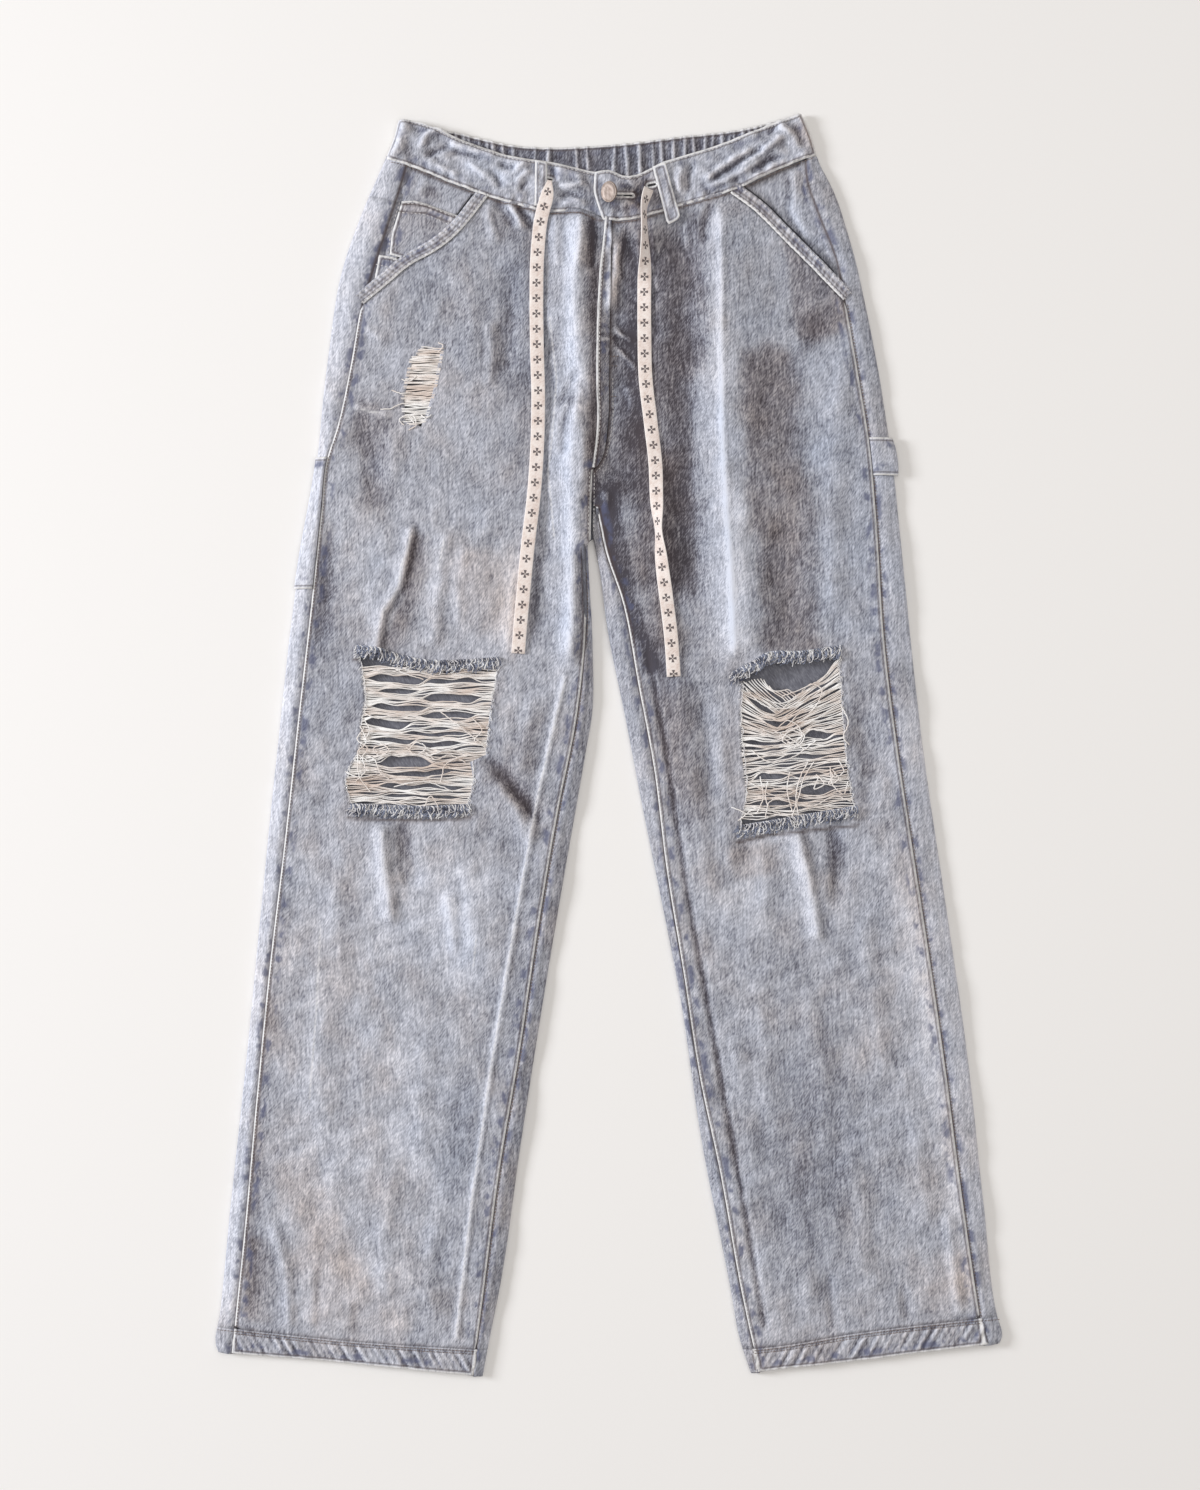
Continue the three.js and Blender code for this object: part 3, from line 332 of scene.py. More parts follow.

# Painted light and shade, with some dye and wear: line, lighter (+) or darker (-), warmer (+) or bluer (-),
# reach left, reach right
LEG_SHADES = [
    ([(-31, 436), (-32, 380), (-30, 325), (-33, 290)], 0.24, -0.7, 7, 7),
    ([(-33, 262), (-32, 200), (-31, 140), (-34, 90), (-42, 30)], 0.26, -0.6, 8, 9),
    ([(-50, 440), (-52, 380), (-50, 290)], -0.2, 0.1, 5, 6),
    ([(-46, 345), (-43, 310), (-44, 280)], -0.2, 0.2, 4, 6),
    ([(-27, 290), (-32, 274)], -0.5, 0.4, 6, 6),
    ([(-13, 436), (-13, 360), (-12, 280), (-14, 200)], -0.5, 0.6, 4, 6),
    ([(20, 430), (22, 380), (20, 330), (18, 290), (14, 230), (4, 190)], -0.62, 0.6, 10, 22),
    ([(3, 420), (5, 390), (2, 358)], 0.45, 0.3, 6, 5),
    ([(12, 352), (14, 332), (12, 318)], -0.35, 0.3, 8, 8),
    ([(48, 428), (52, 340), (56, 260), (62, 180), (60, 110)], -0.5, 0.4, 12, 14),
    ([(-6, 204), (-6, 170), (2, 130), (14, 80)], -0.7, 0.7, 5, 9),
    ([(36, 120), (46, 50), (58, -20), (68, -90)], -0.25, 0.3, 14, 16),
    ([(89, 440), (90, 380), (91, 310), (92, 250), (95, 200), (99, 150), (101, 70)], 0.45, -0.5, 3.5, 4),
    ([(90, 330), (93, 250), (98, 180), (101, 70)], 0.22, -0.5, 14, 9),
    ([(70, 446), (74, 390), (75, 300)], -0.42, 0.2, 12, 8),
    ([(30, 440), (31, 360), (30, 280), (28, 120)], -0.36, 0.8, 9, 9),
    ([(45, 250), (46, 160), (48, 70)], -0.36, 1.2, 10, 9),
    ([(105, 214), (107, 140), (108, 70)], 0.42, -0.3, 8, 9),
    ([(192, 352), (172, 345), (150, 326)], -0.35, 0.4, 10, 10),
    ([(-60, 160), (-62, 80)], -0.45, 0.1, 4, 5),
    ([(-80, 170), (-82, 110), (-88, 60)], 0.3, 0.3, 12, 12),
    ([(-130, 190), (-128, 120), (-124, 90)], 0.22, 0.2, 26, 22),
    ([(-158, 176), (-168, 120), (-184, 76)], -0.4, 0.8, 3, 12),
    ([(-226, 180), (-234, 110), (-238, 60)], -0.45, 0.3, 12, 12),
    ([(-202, 90), (-196, 140), (-188, 178)], 0.12, -0.5, 8, 8),
    ([(-187, -64), (-180, -130)], 0.35, -0.4, 8, 6),
    ([(-168, -60), (-164, -112)], -0.25, 0.4, 5, 8),
    ([(-100, -8), (-78, -35), (-54, -62)], -0.5, 0.5, 8, 8),
    ([(-60, 40), (-68, -10)], -0.3, 0.0, 12, 12),
    ([(-112, -70), (-116, -180), (-140, -210)], 0.25, -0.4, 26, 26),
    ([(-210, -60), (-236, -260), (-246, -460)], 0.12, 0.25, 40, 50),
    ([(-296, -200), (-304, -300), (-314, -460)], 0.35, 0.2, 6, 9),
    ([(-282, -200), (-292, -300), (-300, -440)], -0.25, 0.9, 3, 8),
    ([(-150, -170), (-176, -330), (-190, -470)], 0.14, -0.1, 40, 40),
    ([(-118, -260), (-130, -360), (-144, -440)], -0.12, -0.6, 16, 20),
    ([(-238, -425), (-240, -480)], -0.12, 0.3, 3, 4),
    ([(-208, -452), (-209, -486)], -0.1, 0.3, 3, 4),
    ([(-292, -400), (-298, -474)], -0.35, 0.8, 3, 12),
    ([(-294, -380), (-246, -388), (-200, -470), (-140, -478)], 0.05, 0.5, 30, 30),
    ([(-36, 60), (-58, -40), (-76, -140), (-96, -260), (-112, -370), (-126, -490)], 0.35, -0.3, 2, 2),
    ([(152, -70), (163, -115), (172, -160)], 0.4, -0.4, 8, 5),
    ([(182, -58), (188, -112)], -0.45, 0.3, 7, 10),
    ([(116, -80), (122, -160)], 0.22, -0.3, 18, 18),
    ([(208, 60), (208, -60)], -0.2, 0.1, 12, 14),
    ([(236, 60), (244, -40)], 0.12, -0.8, 8, 8),
    ([(80, 40), (86, -60)], 0.12, -0.3, 10, 14),
    ([(32, 80), (46, 0), (62, -110), (84, -230), (104, -340), (128, -480)], -0.4, 0.5, 2, 2.5),
    ([(150, -200), (160, -330), (176, -440)], -0.26, -0.2, 32, 44),
    ([(40, 90), (54, 20), (66, -40), (76, -90)], -0.2, 0.2, 24, 34),
    ([(238, -60), (264, -230), (290, -400)], 0.3, 0.1, 16, 14),
    ([(284, -400), (292, -470)], 0.3, 0.9, 22, 14),
    ([(256, -80), (274, -230), (294, -400), (300, -480)], 0.2, 0.3, 12, 16),
]

# Broad painted shade and light, with some changes of dye: outline, lighter or darker, warmer or bluer,
# softness of the rim
LEG_PATCHES = [
    ([(110, 318), (130, 328), (158, 322), (161, 230), (172, 180), (174, 74), (128, 74), (122, 170),
      (111, 205)], -0.34, 0.9, 8),
    ([(146, 446), (170, 412), (200, 384), (196, 345), (158, 318), (150, 350), (144, 400)], -0.3, 0.9, 6),
    ([(42, 436), (86, 440), (88, 300), (84, 200), (90, 80), (56, 80), (54, 200)], -0.16, 0.3, 10),
    ([(-186, 330), (-176, 392), (-110, 440), (-62, 432), (-60, 280), (-120, 300)], -0.10, 0.0, 12),
    ([(150, 330), (200, 336), (214, 200), (224, 90), (162, 90), (154, 200)], 0.02, -0.7, 9),
    ([(92, 430), (118, 436), (162, 380), (150, 340), (108, 330), (94, 360)], 0.05, -0.4, 8),
    ([(-14, 300), (4, 312), (30, 300), (62, 200), (60, 120), (20, 100), (-4, 180)], -0.06, 0.1, 8),
    ([(-208, 282), (-190, 280), (-178, 262), (-180, 196), (-200, 190)], -0.28, 0.5, 7),
    ([(-10, 425), (12, 425), (48, 300), (44, 240), (4, 250)], -0.12, 0.0, 8),
    ([(-128, 158), (-110, 164), (-66, 152), (-62, 92), (-124, 88)], 0.10, 0.45, 9),
    ([(-84, 440), (-60, 440), (-57, 330), (-66, 250), (-88, 300)], -0.20, 0.0, 9),
    ([(-118, -4), (-70, 8), (-56, -60), (-96, -40)], -0.14, 0.2, 7),
    ([(-204, -90), (-100, -104), (-108, -196), (-200, -176)], 0.20, -0.3, 16),
    ([(-256, -420), (-166, -420), (-164, -484), (-262, -474)], 0.24, 0.2, 10),
    ([(-13, 216), (6, 214), (22, 120), (44, 60), (28, 60), (4, 130), (-10, 170)], -0.7, 0.1, 5),
    ([(14, 180), (52, 180), (58, 60), (30, 60)], -0.12, 0.2, 8),
    ([(94, -84), (140, -82), (140, -106), (104, -112)], -0.10, 0.6, 6),
    ([(-180, -60), (-162, -60), (-160, -112), (-176, -112)], -0.08, 0.5, 6),
]

# Painted shadow lines where one piece stands over another: line, reach
SEAM_SHADOWS = [
    (shifted(WAIST_LEFT, 0, -1.2), 1.4),
    (shifted(WAIST_RIGHT, 0, -1.2), 1.4),
    (shifted(FLY_STITCH, 0.6, 0), 1.6),
    (shifted(HEM_SEAM_LEFT, 0, 0.8), 1.0),
    (shifted(HEM_SEAM_RIGHT, 0, 0.8), 1.0),
    (np.array([(-209, 70), (-190, 69), (-170, 62), (-150, 60), (-92, 60)]), 1.5),
    (np.array([(108, 52), (131, 64), (155, 68), (190, 70)]), 1.5),
    (np.array([(-214, -60), (-160, -62), (-114, -60)]), 1.5),
    (np.array([(105, -80), (130, -74), (165, -70), (204, -66)]), 1.5),
]

# Pressed-in fine creases, each drawn as a thin worn line
FINE_CREASES = [
    [(-161, 182), (-165, 158), (-170, 148), (-172, 130), (-177, 120), (-185, 108), (-190, 90)],
    [(-213, 278), (-196, 273), (-175, 270)],
    [(-133, 178), (-137, 158), (-140, 140)],
    [(-34, 60), (-58, -40), (-76, -140), (-96, -260), (-112, -370), (-126, -490)],
    [(-50, 360), (-43, 300), (-47, 250), (-50, 225), (-44, 160)],
    [(-236, -140), (-240, -220), (-246, -300)],
    [(163, 452), (158, 430), (166, 408)],
    [(-112, -190), (-108, -150)],
]


# Heights of the cloth's upper faces


def rolling(x, y, seed, longest, shortest, size, count=9):
    """Gentle unevenness without direction, the same at every run."""
    rng = np.random.default_rng(seed)
    total = np.zeros(np.shape(x))
    for _ in range(count):
        length = rng.uniform(shortest, longest)
        turn = rng.uniform(0, math.pi)
        phase = rng.uniform(0, 2 * math.pi)
        total += np.sin((x * math.cos(turn) + y * math.sin(turn)) * 2 * math.pi / length + phase)
    return total * size / math.sqrt(count)


def near_seams(x, y):
    """1 along the seams of the legs, falling to 0 inside the panels."""
    lines = [SIDE_SEAM_LEFT, SIDE_SEAM_RIGHT, INSEAM_LEFT, INSEAM_RIGHT, HEM_SEAM_LEFT, HEM_SEAM_RIGHT]
    nearest = np.min([distance_to(line[::3], x, y) for line in lines], axis=0)
    return np.exp(-((nearest / 7) ** 2))


def creased(height, creases, x, y):
    for line, rise, left, right in creases:
        height = height + rise * soft_ridge(line, left, right, x, y)
    return height


def leg_top(x, y):
    height = rolling(x, y, 3, 95, 34, 0.8) + rolling(x, y, 4, 30, 13, 0.3) + rolling(x, y, 5, 12, 7, 0.07)
    height = creased(height, LEG_CREASES, x, y)
    return np.maximum(SEAM_TOP + height * (1 - near_seams(x, y)), 3.4)


def front_face(x, y):
    """The front panels' upper face, half a seam's step above the shape that front and back share."""
    return leg_top(x, y) + SEAM_STEP / 2


def puckers(line, pitch, reach, size, lean, x, y):
    """Small gathers along a stitched line."""
    offset, along, _ = from_line(line, x, y)
    wave = np.sin(2 * math.pi * (along + lean * offset) / pitch + 1.5 * np.sin(along / 17.0))
    return size * wave * np.exp(-((offset / reach) ** 2))


# Creases of the front waistband
BAND_CREASES = [
    ([(-165, 512), (-172, 498), (-180, 481)], 3.2, 3, 6),
    ([(-178, 506), (-176, 494), (-182, 484)], -2.4, 3, 3),
    ([(-155, 488), (-150, 500), (-140, 505), (-131, 502)], 3.4, 3, 3),
    ([(-152, 481), (-144, 486), (-136, 489), (-126, 490)], -2.8, 3, 3),
    ([(-132, 493), (-118, 489), (-102, 485), (-92, 482)], 3.0, 2.5, 3),
    ([(-130, 487), (-116, 484), (-102, 480)], -2.4, 2.5, 2.5),
    ([(-146, 476), (-134, 471), (-122, 466)], 2.4, 3, 3),
    ([(-118, 478), (-106, 470), (-98, 462)], 2.2, 3, 3),
    ([(-100, 474), (-92, 466), (-88, 454)], -2.4, 3, 3),
    ([(-93, 479), (-84, 474), (-74, 473)], -2.6, 3, 3),
    ([(-80, 468), (-74, 474), (-64, 479)], 2.6, 3, 3),
    ([(-78, 460), (-71, 467), (-63, 472)], 2.2, 2.5, 2.5),
    ([(-74, 452), (-69, 460), (-63, 464)], -2.0, 2.5, 2.5),
    ([(-48, 476), (-46, 468), (-49, 460)], -2.6, 2.5, 3),
    ([(-46, 471), (-34, 470), (-20, 464)], 2.4, 3, 3),
    ([(-44, 458), (-32, 458), (-18, 461)], 2.6, 2.5, 3),
    ([(-44, 450), (-32, 452), (-20, 449)], -2.2, 2.5, 2.5),
    ([(-40, 442), (-28, 446), (-18, 443)], 1.8, 2.5, 2.5),
    ([(8, 440), (14, 444), (24, 442)], 1.8, 2.5, 2.5),
    ([(8, 460), (20, 456), (27, 450)], -1.8, 3, 3),
    ([(16, 466), (20, 458), (18, 448)], 1.6, 3, 3),
    ([(60, 477), (57, 464), (58, 450)], 2.0, 3, 3),
    ([(68, 480), (66, 466), (66, 452)], -2.2, 3, 3),
    ([(76, 461), (90, 471), (104, 481), (118, 489)], 3.2, 3, 3.5),
    ([(78, 456), (96, 463), (112, 472), (126, 480)], 2.6, 2.5, 3),
    ([(84, 465), (100, 474), (116, 483), (128, 490)], -3.0, 2.5, 3),
    ([(106, 474), (122, 484), (134, 493), (144, 502)], 3.2, 3, 3),
    ([(120, 474), (132, 480), (146, 484)], -2.8, 3, 3),
    ([(112, 462), (126, 468), (140, 478)], 2.4, 3, 3),
    ([(98, 496), (112, 498), (124, 503)], 2.0, 3, 3),
    ([(130, 499), (135, 506), (140, 512)], -3.0, 2.5, 3),
    ([(136, 510), (144, 504), (152, 500)], 3.0, 3, 3),
    ([(152, 512), (156, 500), (160, 488)], -2.0, 3, 4),
    ([(150, 476), (156, 482), (164, 486)], 1.8, 3, 3),
]


def waist_at(x):
    """y of the seam between the legs and the front waistband."""
    return np.where(x < 0, along_at(WAIST_LEFT, x), along_at(WAIST_RIGHT, x))


def band_top(x, y):
    height = rolling(x, y, 8, 34, 12, 0.5) + rolling(x, y, 9, 14, 7, 0.16)
    height = creased(height, BAND_CREASES, x, y)
    waist = waist_at(x)
    height = height + 0.7 * np.sin(x / 1.7 + 1.3 * np.sin(x / 11)) * np.exp(-(((y - waist) / 8) ** 2))
    side = np.minimum(x - across_at(OUTER_LEFT, y), across_at(OUTER_RIGHT, y) - x)
    turned = np.sqrt(np.clip(1 - (1 - np.clip(side, 0, TURN) / TURN) ** 2, 0, 1))
    return 1.6 + (SEAM_TOP + 0.6 + height) * (0.25 + 0.75 * turned) - 1.0


def left_band_top(x, y):
    return band_top(x, y) - 1.3 * soft_step(x, -26, -14)


def right_band_top(x, y):
    return band_top(x, y) + 1.5 * soft_step(x, 26, 12)


def gathered_top(x, y):
    """The back waistband, drawn up on its elastic into close upright gathers."""
    rng = np.random.default_rng(11)
    crests = [-87, -79, -61, -50, -27, -18, 4, 14, 25, 36, 43, 53, 62, 70, 78, 85]
    crests += list(np.arange(-94, -160, -6.4) + rng.uniform(-1.2, 1.2, 11))
    crests += list(np.arange(92, 145, 5.8) + rng.uniform(-1.2, 1.2, 10))
    height = np.zeros(np.shape(x))
    for crest in crests:
        lean = rng.uniform(-0.09, 0.09)
        size = rng.uniform(1.6, 2.6)
        away = np.abs(x - crest - lean * (y - 485))
        height = np.maximum(height, size * np.exp(-((away / 1.8) ** 1.6)))
    return 2.2 + height + rolling(x, y, 12, 30, 9, 0.22)


def facing_top(x, y):
    folds = 1.4 * soft_ridge([(-150, 468), (-158, 448)], 3, 5, x, y)
    folds = folds + 1.6 * soft_ridge([(151, 475), (153, 455), (151, 440), (165, 412)], 3, 6, x, y)
    folds = folds + 1.0 * soft_ridge([(137, 447), (143, 430), (155, 413)], 3, 4, x, y)
    edge = np.minimum(distance_to(MOUTH_LEFT[::2], x, y), distance_to(MOUTH_RIGHT[::2], x, y))
    return 3.7 + (folds + rolling(x, y, 14, 40, 12, 0.3) + 0.4) * soft_step(edge, 2, 12)


def cover_top(x, y):
    """The highest cloth that a drawstring can lie on."""
    waist = waist_at(x)
    loop = np.where((np.abs(x + 56) < 7) & (y > 438), 2.0, 0.0)
    return np.where(y > waist - 2, band_top(x, y) + loop, leg_top(x, y) + 0.6)


# Nodes


def add_node(tree, kind, inputs=None, **settings):
    node = tree.nodes.new(kind)
    for name, value in settings.items():
        setattr(node, name, value)
    for name, value in (inputs or {}).items():
        socket = node.inputs[name]
        if isinstance(value, bpy.types.NodeSocket):
            tree.links.new(value, socket)
        else:
            socket.default_value = value
    return node


def calculate(tree, operation, *values, clamp=False):
    inputs = dict(enumerate(values))
    node = add_node(tree, "ShaderNodeMath", inputs, operation=operation, use_clamp=clamp)
    return node.outputs[0]


def mix_colour(tree, factor, base, other, kind="MIX"):
    inputs = {0: factor, 6: base, 7: other}
    return add_node(tree, "ShaderNodeMix", inputs, data_type="RGBA", blend_type=kind).outputs[2]


def map_range(tree, value, start, end, low=0.0, high=1.0):
    return add_node(tree, "ShaderNodeMapRange", {0: value, 1: start, 2: end, 3: low, 4: high}).outputs[0]


def read_attribute(tree, name):
    return add_node(tree, "ShaderNodeAttribute", attribute_name=name).outputs["Fac"]


def noise(tree, place, size, detail=2.0, stretch=(1, 1, 1), turn=0.0, rough=0.5):
    """Noise whose features are about the given size in metres, stretched along its turned axes."""
    scale = [size * share for share in stretch]
    inputs = {"Vector": place, "Rotation": (0, 0, math.radians(turn)), "Scale": scale}
    mapped = add_node(tree, "ShaderNodeMapping", inputs, vector_type="TEXTURE")
    inputs = {"Vector": mapped.outputs[0], "Scale": 1.0, "Detail": detail, "Roughness": rough}
    return add_node(tree, "ShaderNodeTexNoise", inputs).outputs[0]


def band_between(tree, value, start, end, soft):
    """1 where the value lies between two limits, with soft sides."""
    rise = map_range(tree, value, start - soft, start + soft)
    fall = map_range(tree, value, end + soft, end - soft)
    return calculate(tree, "MULTIPLY", rise, fall)


def colour_ramp(tree, value, stops):
    node = add_node(tree, "ShaderNodeValToRGB", {0: value})
    ramp = node.color_ramp
    while len(ramp.elements) < len(stops):
        ramp.elements.new(0.5)
    for element, (position, colour) in zip(ramp.elements, stops):
        element.position = position
        element.color = (*colour, 1)
    return node.outputs[0]


def new_material(name):
    material = bpy.data.materials.new(name)
    material.use_nodes = True
    shader = material.node_tree.nodes["Principled BSDF"]
    return material, material.node_tree, shader


def finish_surface(tree, shader, colour, relief, strength, depth, roughness):
    """Links the colour and a fine relief, whose depth is in metres, and sets the roughness."""
    bump = add_node(tree, "ShaderNodeBump", {"Height": relief, "Strength": strength, "Distance": depth})
    tree.links.new(colour, shader.inputs["Base Color"])
    tree.links.new(bump.outputs[0], shader.inputs["Normal"])
    shader.inputs["Roughness"].default_value = roughness


def object_place(tree):
    return add_node(tree, "ShaderNodeTexCoord").outputs["Object"]


# Finishes

WORN_WHITE = (0.80, 0.79, 0.79, 1)
DEEP_INDIGO = (0.11, 0.12, 0.20, 1)
SHADOW_BROWN = (0.085, 0.06, 0.055, 1)
# Patterns of the dye: size in metres, detail, stretch, turn in degrees, strength, fades up the leg
DYE_PATTERNS = [
    (0.075, 2, (1, 1.5, 1), 10, 0.26, False),
    (0.015, 3, (1, 2.0, 1), 26, 0.42, True),
    (0.018, 3, (1, 1.6, 1), -34, 0.30, True),
    (0.0032, 2, (0.7, 5.0, 1), 2, 0.36, False),
]


def denim(name, depth=0.0, blotches=0.75, worn=1.0):
    """Acid-washed twill: soft clouds of dye and fine diagonal ribs, worn pale at edges and creases, with
    painted light and shade from the cloth's attributes and painted shadow lines beside edges and seams.
    """
    material, tree, shader = new_material(name)
    place = object_place(tree)
    twill = noise(tree, place, 0.0009, 1, (4.0, 1, 1), 58)
    slub = noise(tree, place, 0.0013, 2, (1, 8, 1), 2)
    level = add_node(tree, "ShaderNodeSeparateXYZ", {0: place}).outputs["Y"]
    clouds = map_range(tree, level, 0.12, -0.12, 0.5, 1.0)
    value = 0.53 - depth
    for size, detail, stretch, turn, strength, fades in DYE_PATTERNS:
        source = calculate(tree, "SUBTRACT", noise(tree, place, size, detail, stretch, turn, 0.6), 0.5)
        if fades:
            source = calculate(tree, "MULTIPLY", source, clouds)
        value = calculate(tree, "MULTIPLY_ADD", source, strength, value)
    # Dye and wear with painted light and shade.
    shade = read_attribute(tree, "shade")
    for source, strength, centre in ((twill, 1.0, 0.5), (slub, 0.66, 0.33), (shade, 0.6, 0.0)):
        value = calculate(tree, "SUBTRACT", value, centre)
        value = calculate(tree, "MULTIPLY_ADD", source, strength, value)
    colour = colour_ramp(tree, value, [
        (0.0, (0.075, 0.072, 0.092)), (0.25, (0.195, 0.198, 0.240)), (0.5, (0.375, 0.385, 0.435)),
        (0.75, (0.560, 0.568, 0.630)), (1.0, (0.80, 0.80, 0.86))])
    hue = noise(tree, place, 0.035, 2, (1, 1.4, 1), 20)
    hue = calculate(tree, "MULTIPLY_ADD", hue, 2.4, -1.2)
    # Dye hue with painted warm shade and cool light.
    warmth = calculate(tree, "ADD", hue, read_attribute(tree, "warmth"))
    warm = calculate(tree, "MULTIPLY", warmth, 0.6, clamp=True)
    cool = calculate(tree, "MULTIPLY", warmth, -0.6, clamp=True)
    colour = mix_colour(tree, warm, colour, (1.0, 0.86, 0.74, 1), "MULTIPLY")
    colour = mix_colour(tree, cool, colour, (0.86, 0.92, 1.0, 1), "MULTIPLY")
    edge = read_attribute(tree, "edge")
    patches = noise(tree, place, 0.009, 2, (1, 1.2, 1))
    spot = map_range(tree, patches, 0.5, 0.62)
    spot = calculate(tree, "MULTIPLY", spot, band_between(tree, edge, 3.0, 9.0, 1.8))
    spot = calculate(tree, "MULTIPLY", spot, blotches)
    colour = mix_colour(tree, spot, colour, DEEP_INDIGO)
    broken = map_range(tree, slub, 0.3, 0.5, 0.5, 1.0)
    white = calculate(tree, "MULTIPLY", band_between(tree, edge, -1.0, 1.3, 0.4), broken)
    white = calculate(tree, "MULTIPLY", white, worn)
    crease = read_attribute(tree, "crease")
    line = calculate(tree, "MULTIPLY", band_between(tree, crease, -1.0, 0.8, 0.5), 0.55)
    # A painted shadow line just inside each worn edge.
    dark = calculate(tree, "MULTIPLY", band_between(tree, edge, 1.9, 3.1, 0.5), 0.6 * worn)
    colour = mix_colour(tree, dark, colour, SHADOW_BROWN)
    white = calculate(tree, "MAXIMUM", white, line)
    colour = mix_colour(tree, white, colour, WORN_WHITE)
    # Painted shadow where one piece stands over another.
    painted_shadow = calculate(tree, "MULTIPLY", read_attribute(tree, "painted_shadow"), 0.9, clamp=True)
    colour = mix_colour(tree, painted_shadow, colour, SHADOW_BROWN)
    relief = calculate(tree, "MULTIPLY_ADD", twill, 0.8, slub)
    finish_surface(tree, shader, colour, relief, 0.6, 0.0004, 0.92)
    shader.inputs["Specular IOR Level"].default_value = 0.2
    return material


def inside_denim():
    """The unworn inner face of the cloth: slate grey, darker than the outer face as painted shade inside the
    legs, with its own twill.
    """
    material, tree, shader = new_material("slate_inside_denim")
    place = object_place(tree)
    twill = noise(tree, place, 0.0009, 1, (4.5, 1, 1), 122)
    mottle = noise(tree, place, 0.006, 3)
    value = calculate(tree, "MULTIPLY_ADD", twill, 0.6, calculate(tree, "MULTIPLY", mottle, 0.4))
    colour = colour_ramp(tree, value, [
        (0.2, (0.085, 0.085, 0.105)), (0.5, (0.165, 0.168, 0.20)), (0.8, (0.29, 0.295, 0.33))])
    finish_surface(tree, shader, colour, twill, 0.5, 0.0004, 0.95)
    return material


def yarn(name, dark, pale, size=0.006, stretch=(5, 1, 1)):
    """Spun cotton: soft changes of colour along each yarn and a fine twist across it."""
    material, tree, shader = new_material(name)
    place = object_place(tree)
    change = noise(tree, place, size, 3, stretch)
    twist = noise(tree, place, 0.0006, 1)
    value = calculate(tree, "MULTIPLY_ADD", calculate(tree, "SUBTRACT", twist, 0.5), 0.35, change)
    colour = colour_ramp(tree, value, [(0.34, dark), (0.62, pale)])
    finish_surface(tree, shader, colour, twist, 0.4, 0.0002, 0.9)
    shader.inputs["Sheen Weight"].default_value = 0.15
    return material


def printed_tape():
    """Pale herringbone tape with a plain four-armed mark printed at even spaces along it."""
    material, tree, shader = new_material("printed_cotton_tape")
    place = add_node(tree, "ShaderNodeUVMap", uv_map="UVMap").outputs[0]
    parts = add_node(tree, "ShaderNodeSeparateXYZ", {0: place})
    along, across = parts.outputs[0], parts.outputs[1]
    repeat = calculate(tree, "WRAP", along, MARK_PITCH / 2, -MARK_PITCH / 2)
    along_size, across_size = (calculate(tree, "ABSOLUTE", value) for value in (repeat, across))
    long_side = calculate(tree, "MAXIMUM", along_size, across_size)
    short_side = calculate(tree, "MINIMUM", along_size, across_size)
    arm = calculate(tree, "MULTIPLY_ADD", long_side, 0.3, 0.32)
    narrow = calculate(tree, "SUBTRACT", arm, short_side)
    on_arm = map_range(tree, narrow, -0.15, 0.15)
    mark = calculate(tree, "MULTIPLY", on_arm, band_between(tree, long_side, 0.4, 3.2, 0.15))
    position = object_place(tree)
    ribs = noise(tree, position, 0.0008, 1, (3, 1, 1), 40)
    soil = noise(tree, position, 0.009, 2)
    value = calculate(tree, "MULTIPLY_ADD", ribs, 0.5, calculate(tree, "MULTIPLY", soil, 0.5))
    colour = colour_ramp(tree, value, [
        (0.3, (0.66, 0.53, 0.47)), (0.5, (0.84, 0.74, 0.69)), (0.7, (0.93, 0.87, 0.83))])
    rim = map_range(tree, across_size, 4.7, 5.6, 0.0, 0.5)
    colour = mix_colour(tree, rim, colour, (0.95, 0.92, 0.90, 1))
    colour = mix_colour(tree, calculate(tree, "MULTIPLY", mark, 0.9), colour, (0.06, 0.045, 0.05, 1))
    finish_surface(tree, shader, colour, ribs, 0.5, 0.0004, 0.85)
    return material


def pale_copper():
    """Worn copper with fine handling marks."""
    material, tree, shader = new_material("pale_worn_copper")
    place = object_place(tree)
    marks = noise(tree, place, 0.0016, 4, (1, 3, 1), 30)
    colour = colour_ramp(tree, marks, [(0.3, (0.20, 0.15, 0.125)), (0.65, (0.41, 0.34, 0.30))])
    finish_surface(tree, shader, colour, marks, 0.2, 0.0001, 0.5)
    shader.inputs["Metallic"].default_value = 0.55
    return material


def plain_surface(name, colour):
    material, _, shader = new_material(name)
    shader.inputs["Base Color"].default_value = (*colour, 1)
    shader.inputs["Roughness"].default_value = 1.0
    shader.inputs["Specular IOR Level"].default_value = 0.0
    return material


LEG_DENIM = denim("washed_leg_denim")
BAND_DENIM = denim("washed_waistband_denim", depth=-0.02, blotches=0.4)
GATHERED_DENIM = denim("gathered_back_denim", depth=0.12, blotches=0.2)
SLATE_INSIDE = inside_denim()
CREAM_THREAD = yarn("cream_weft_thread", (0.74, 0.63, 0.56), (0.97, 0.955, 0.94), 0.010)
PALE_FRAY = yarn("pale_fray_yarn", (0.66, 0.64, 0.66), (0.92, 0.91, 0.90))
BLUE_FRAY = yarn("blue_fray_yarn", (0.045, 0.05, 0.085), (0.27, 0.30, 0.40))
PALE_STITCH = yarn("pale_topstitch_yarn", (0.45, 0.42, 0.42), (0.86, 0.84, 0.82), 0.003, (1, 1, 1))
DARK_STITCH = yarn("brown_topstitch_yarn", (0.07, 0.045, 0.04), (0.26, 0.19, 0.16), 0.003, (1, 1, 1))
TAPE_COTTON = printed_tape()
COPPER = pale_copper()


# Meshes


def new_object(name, data):
    made = bpy.data.objects.new(name, data)
    bpy.context.collection.objects.link(made)
    return made


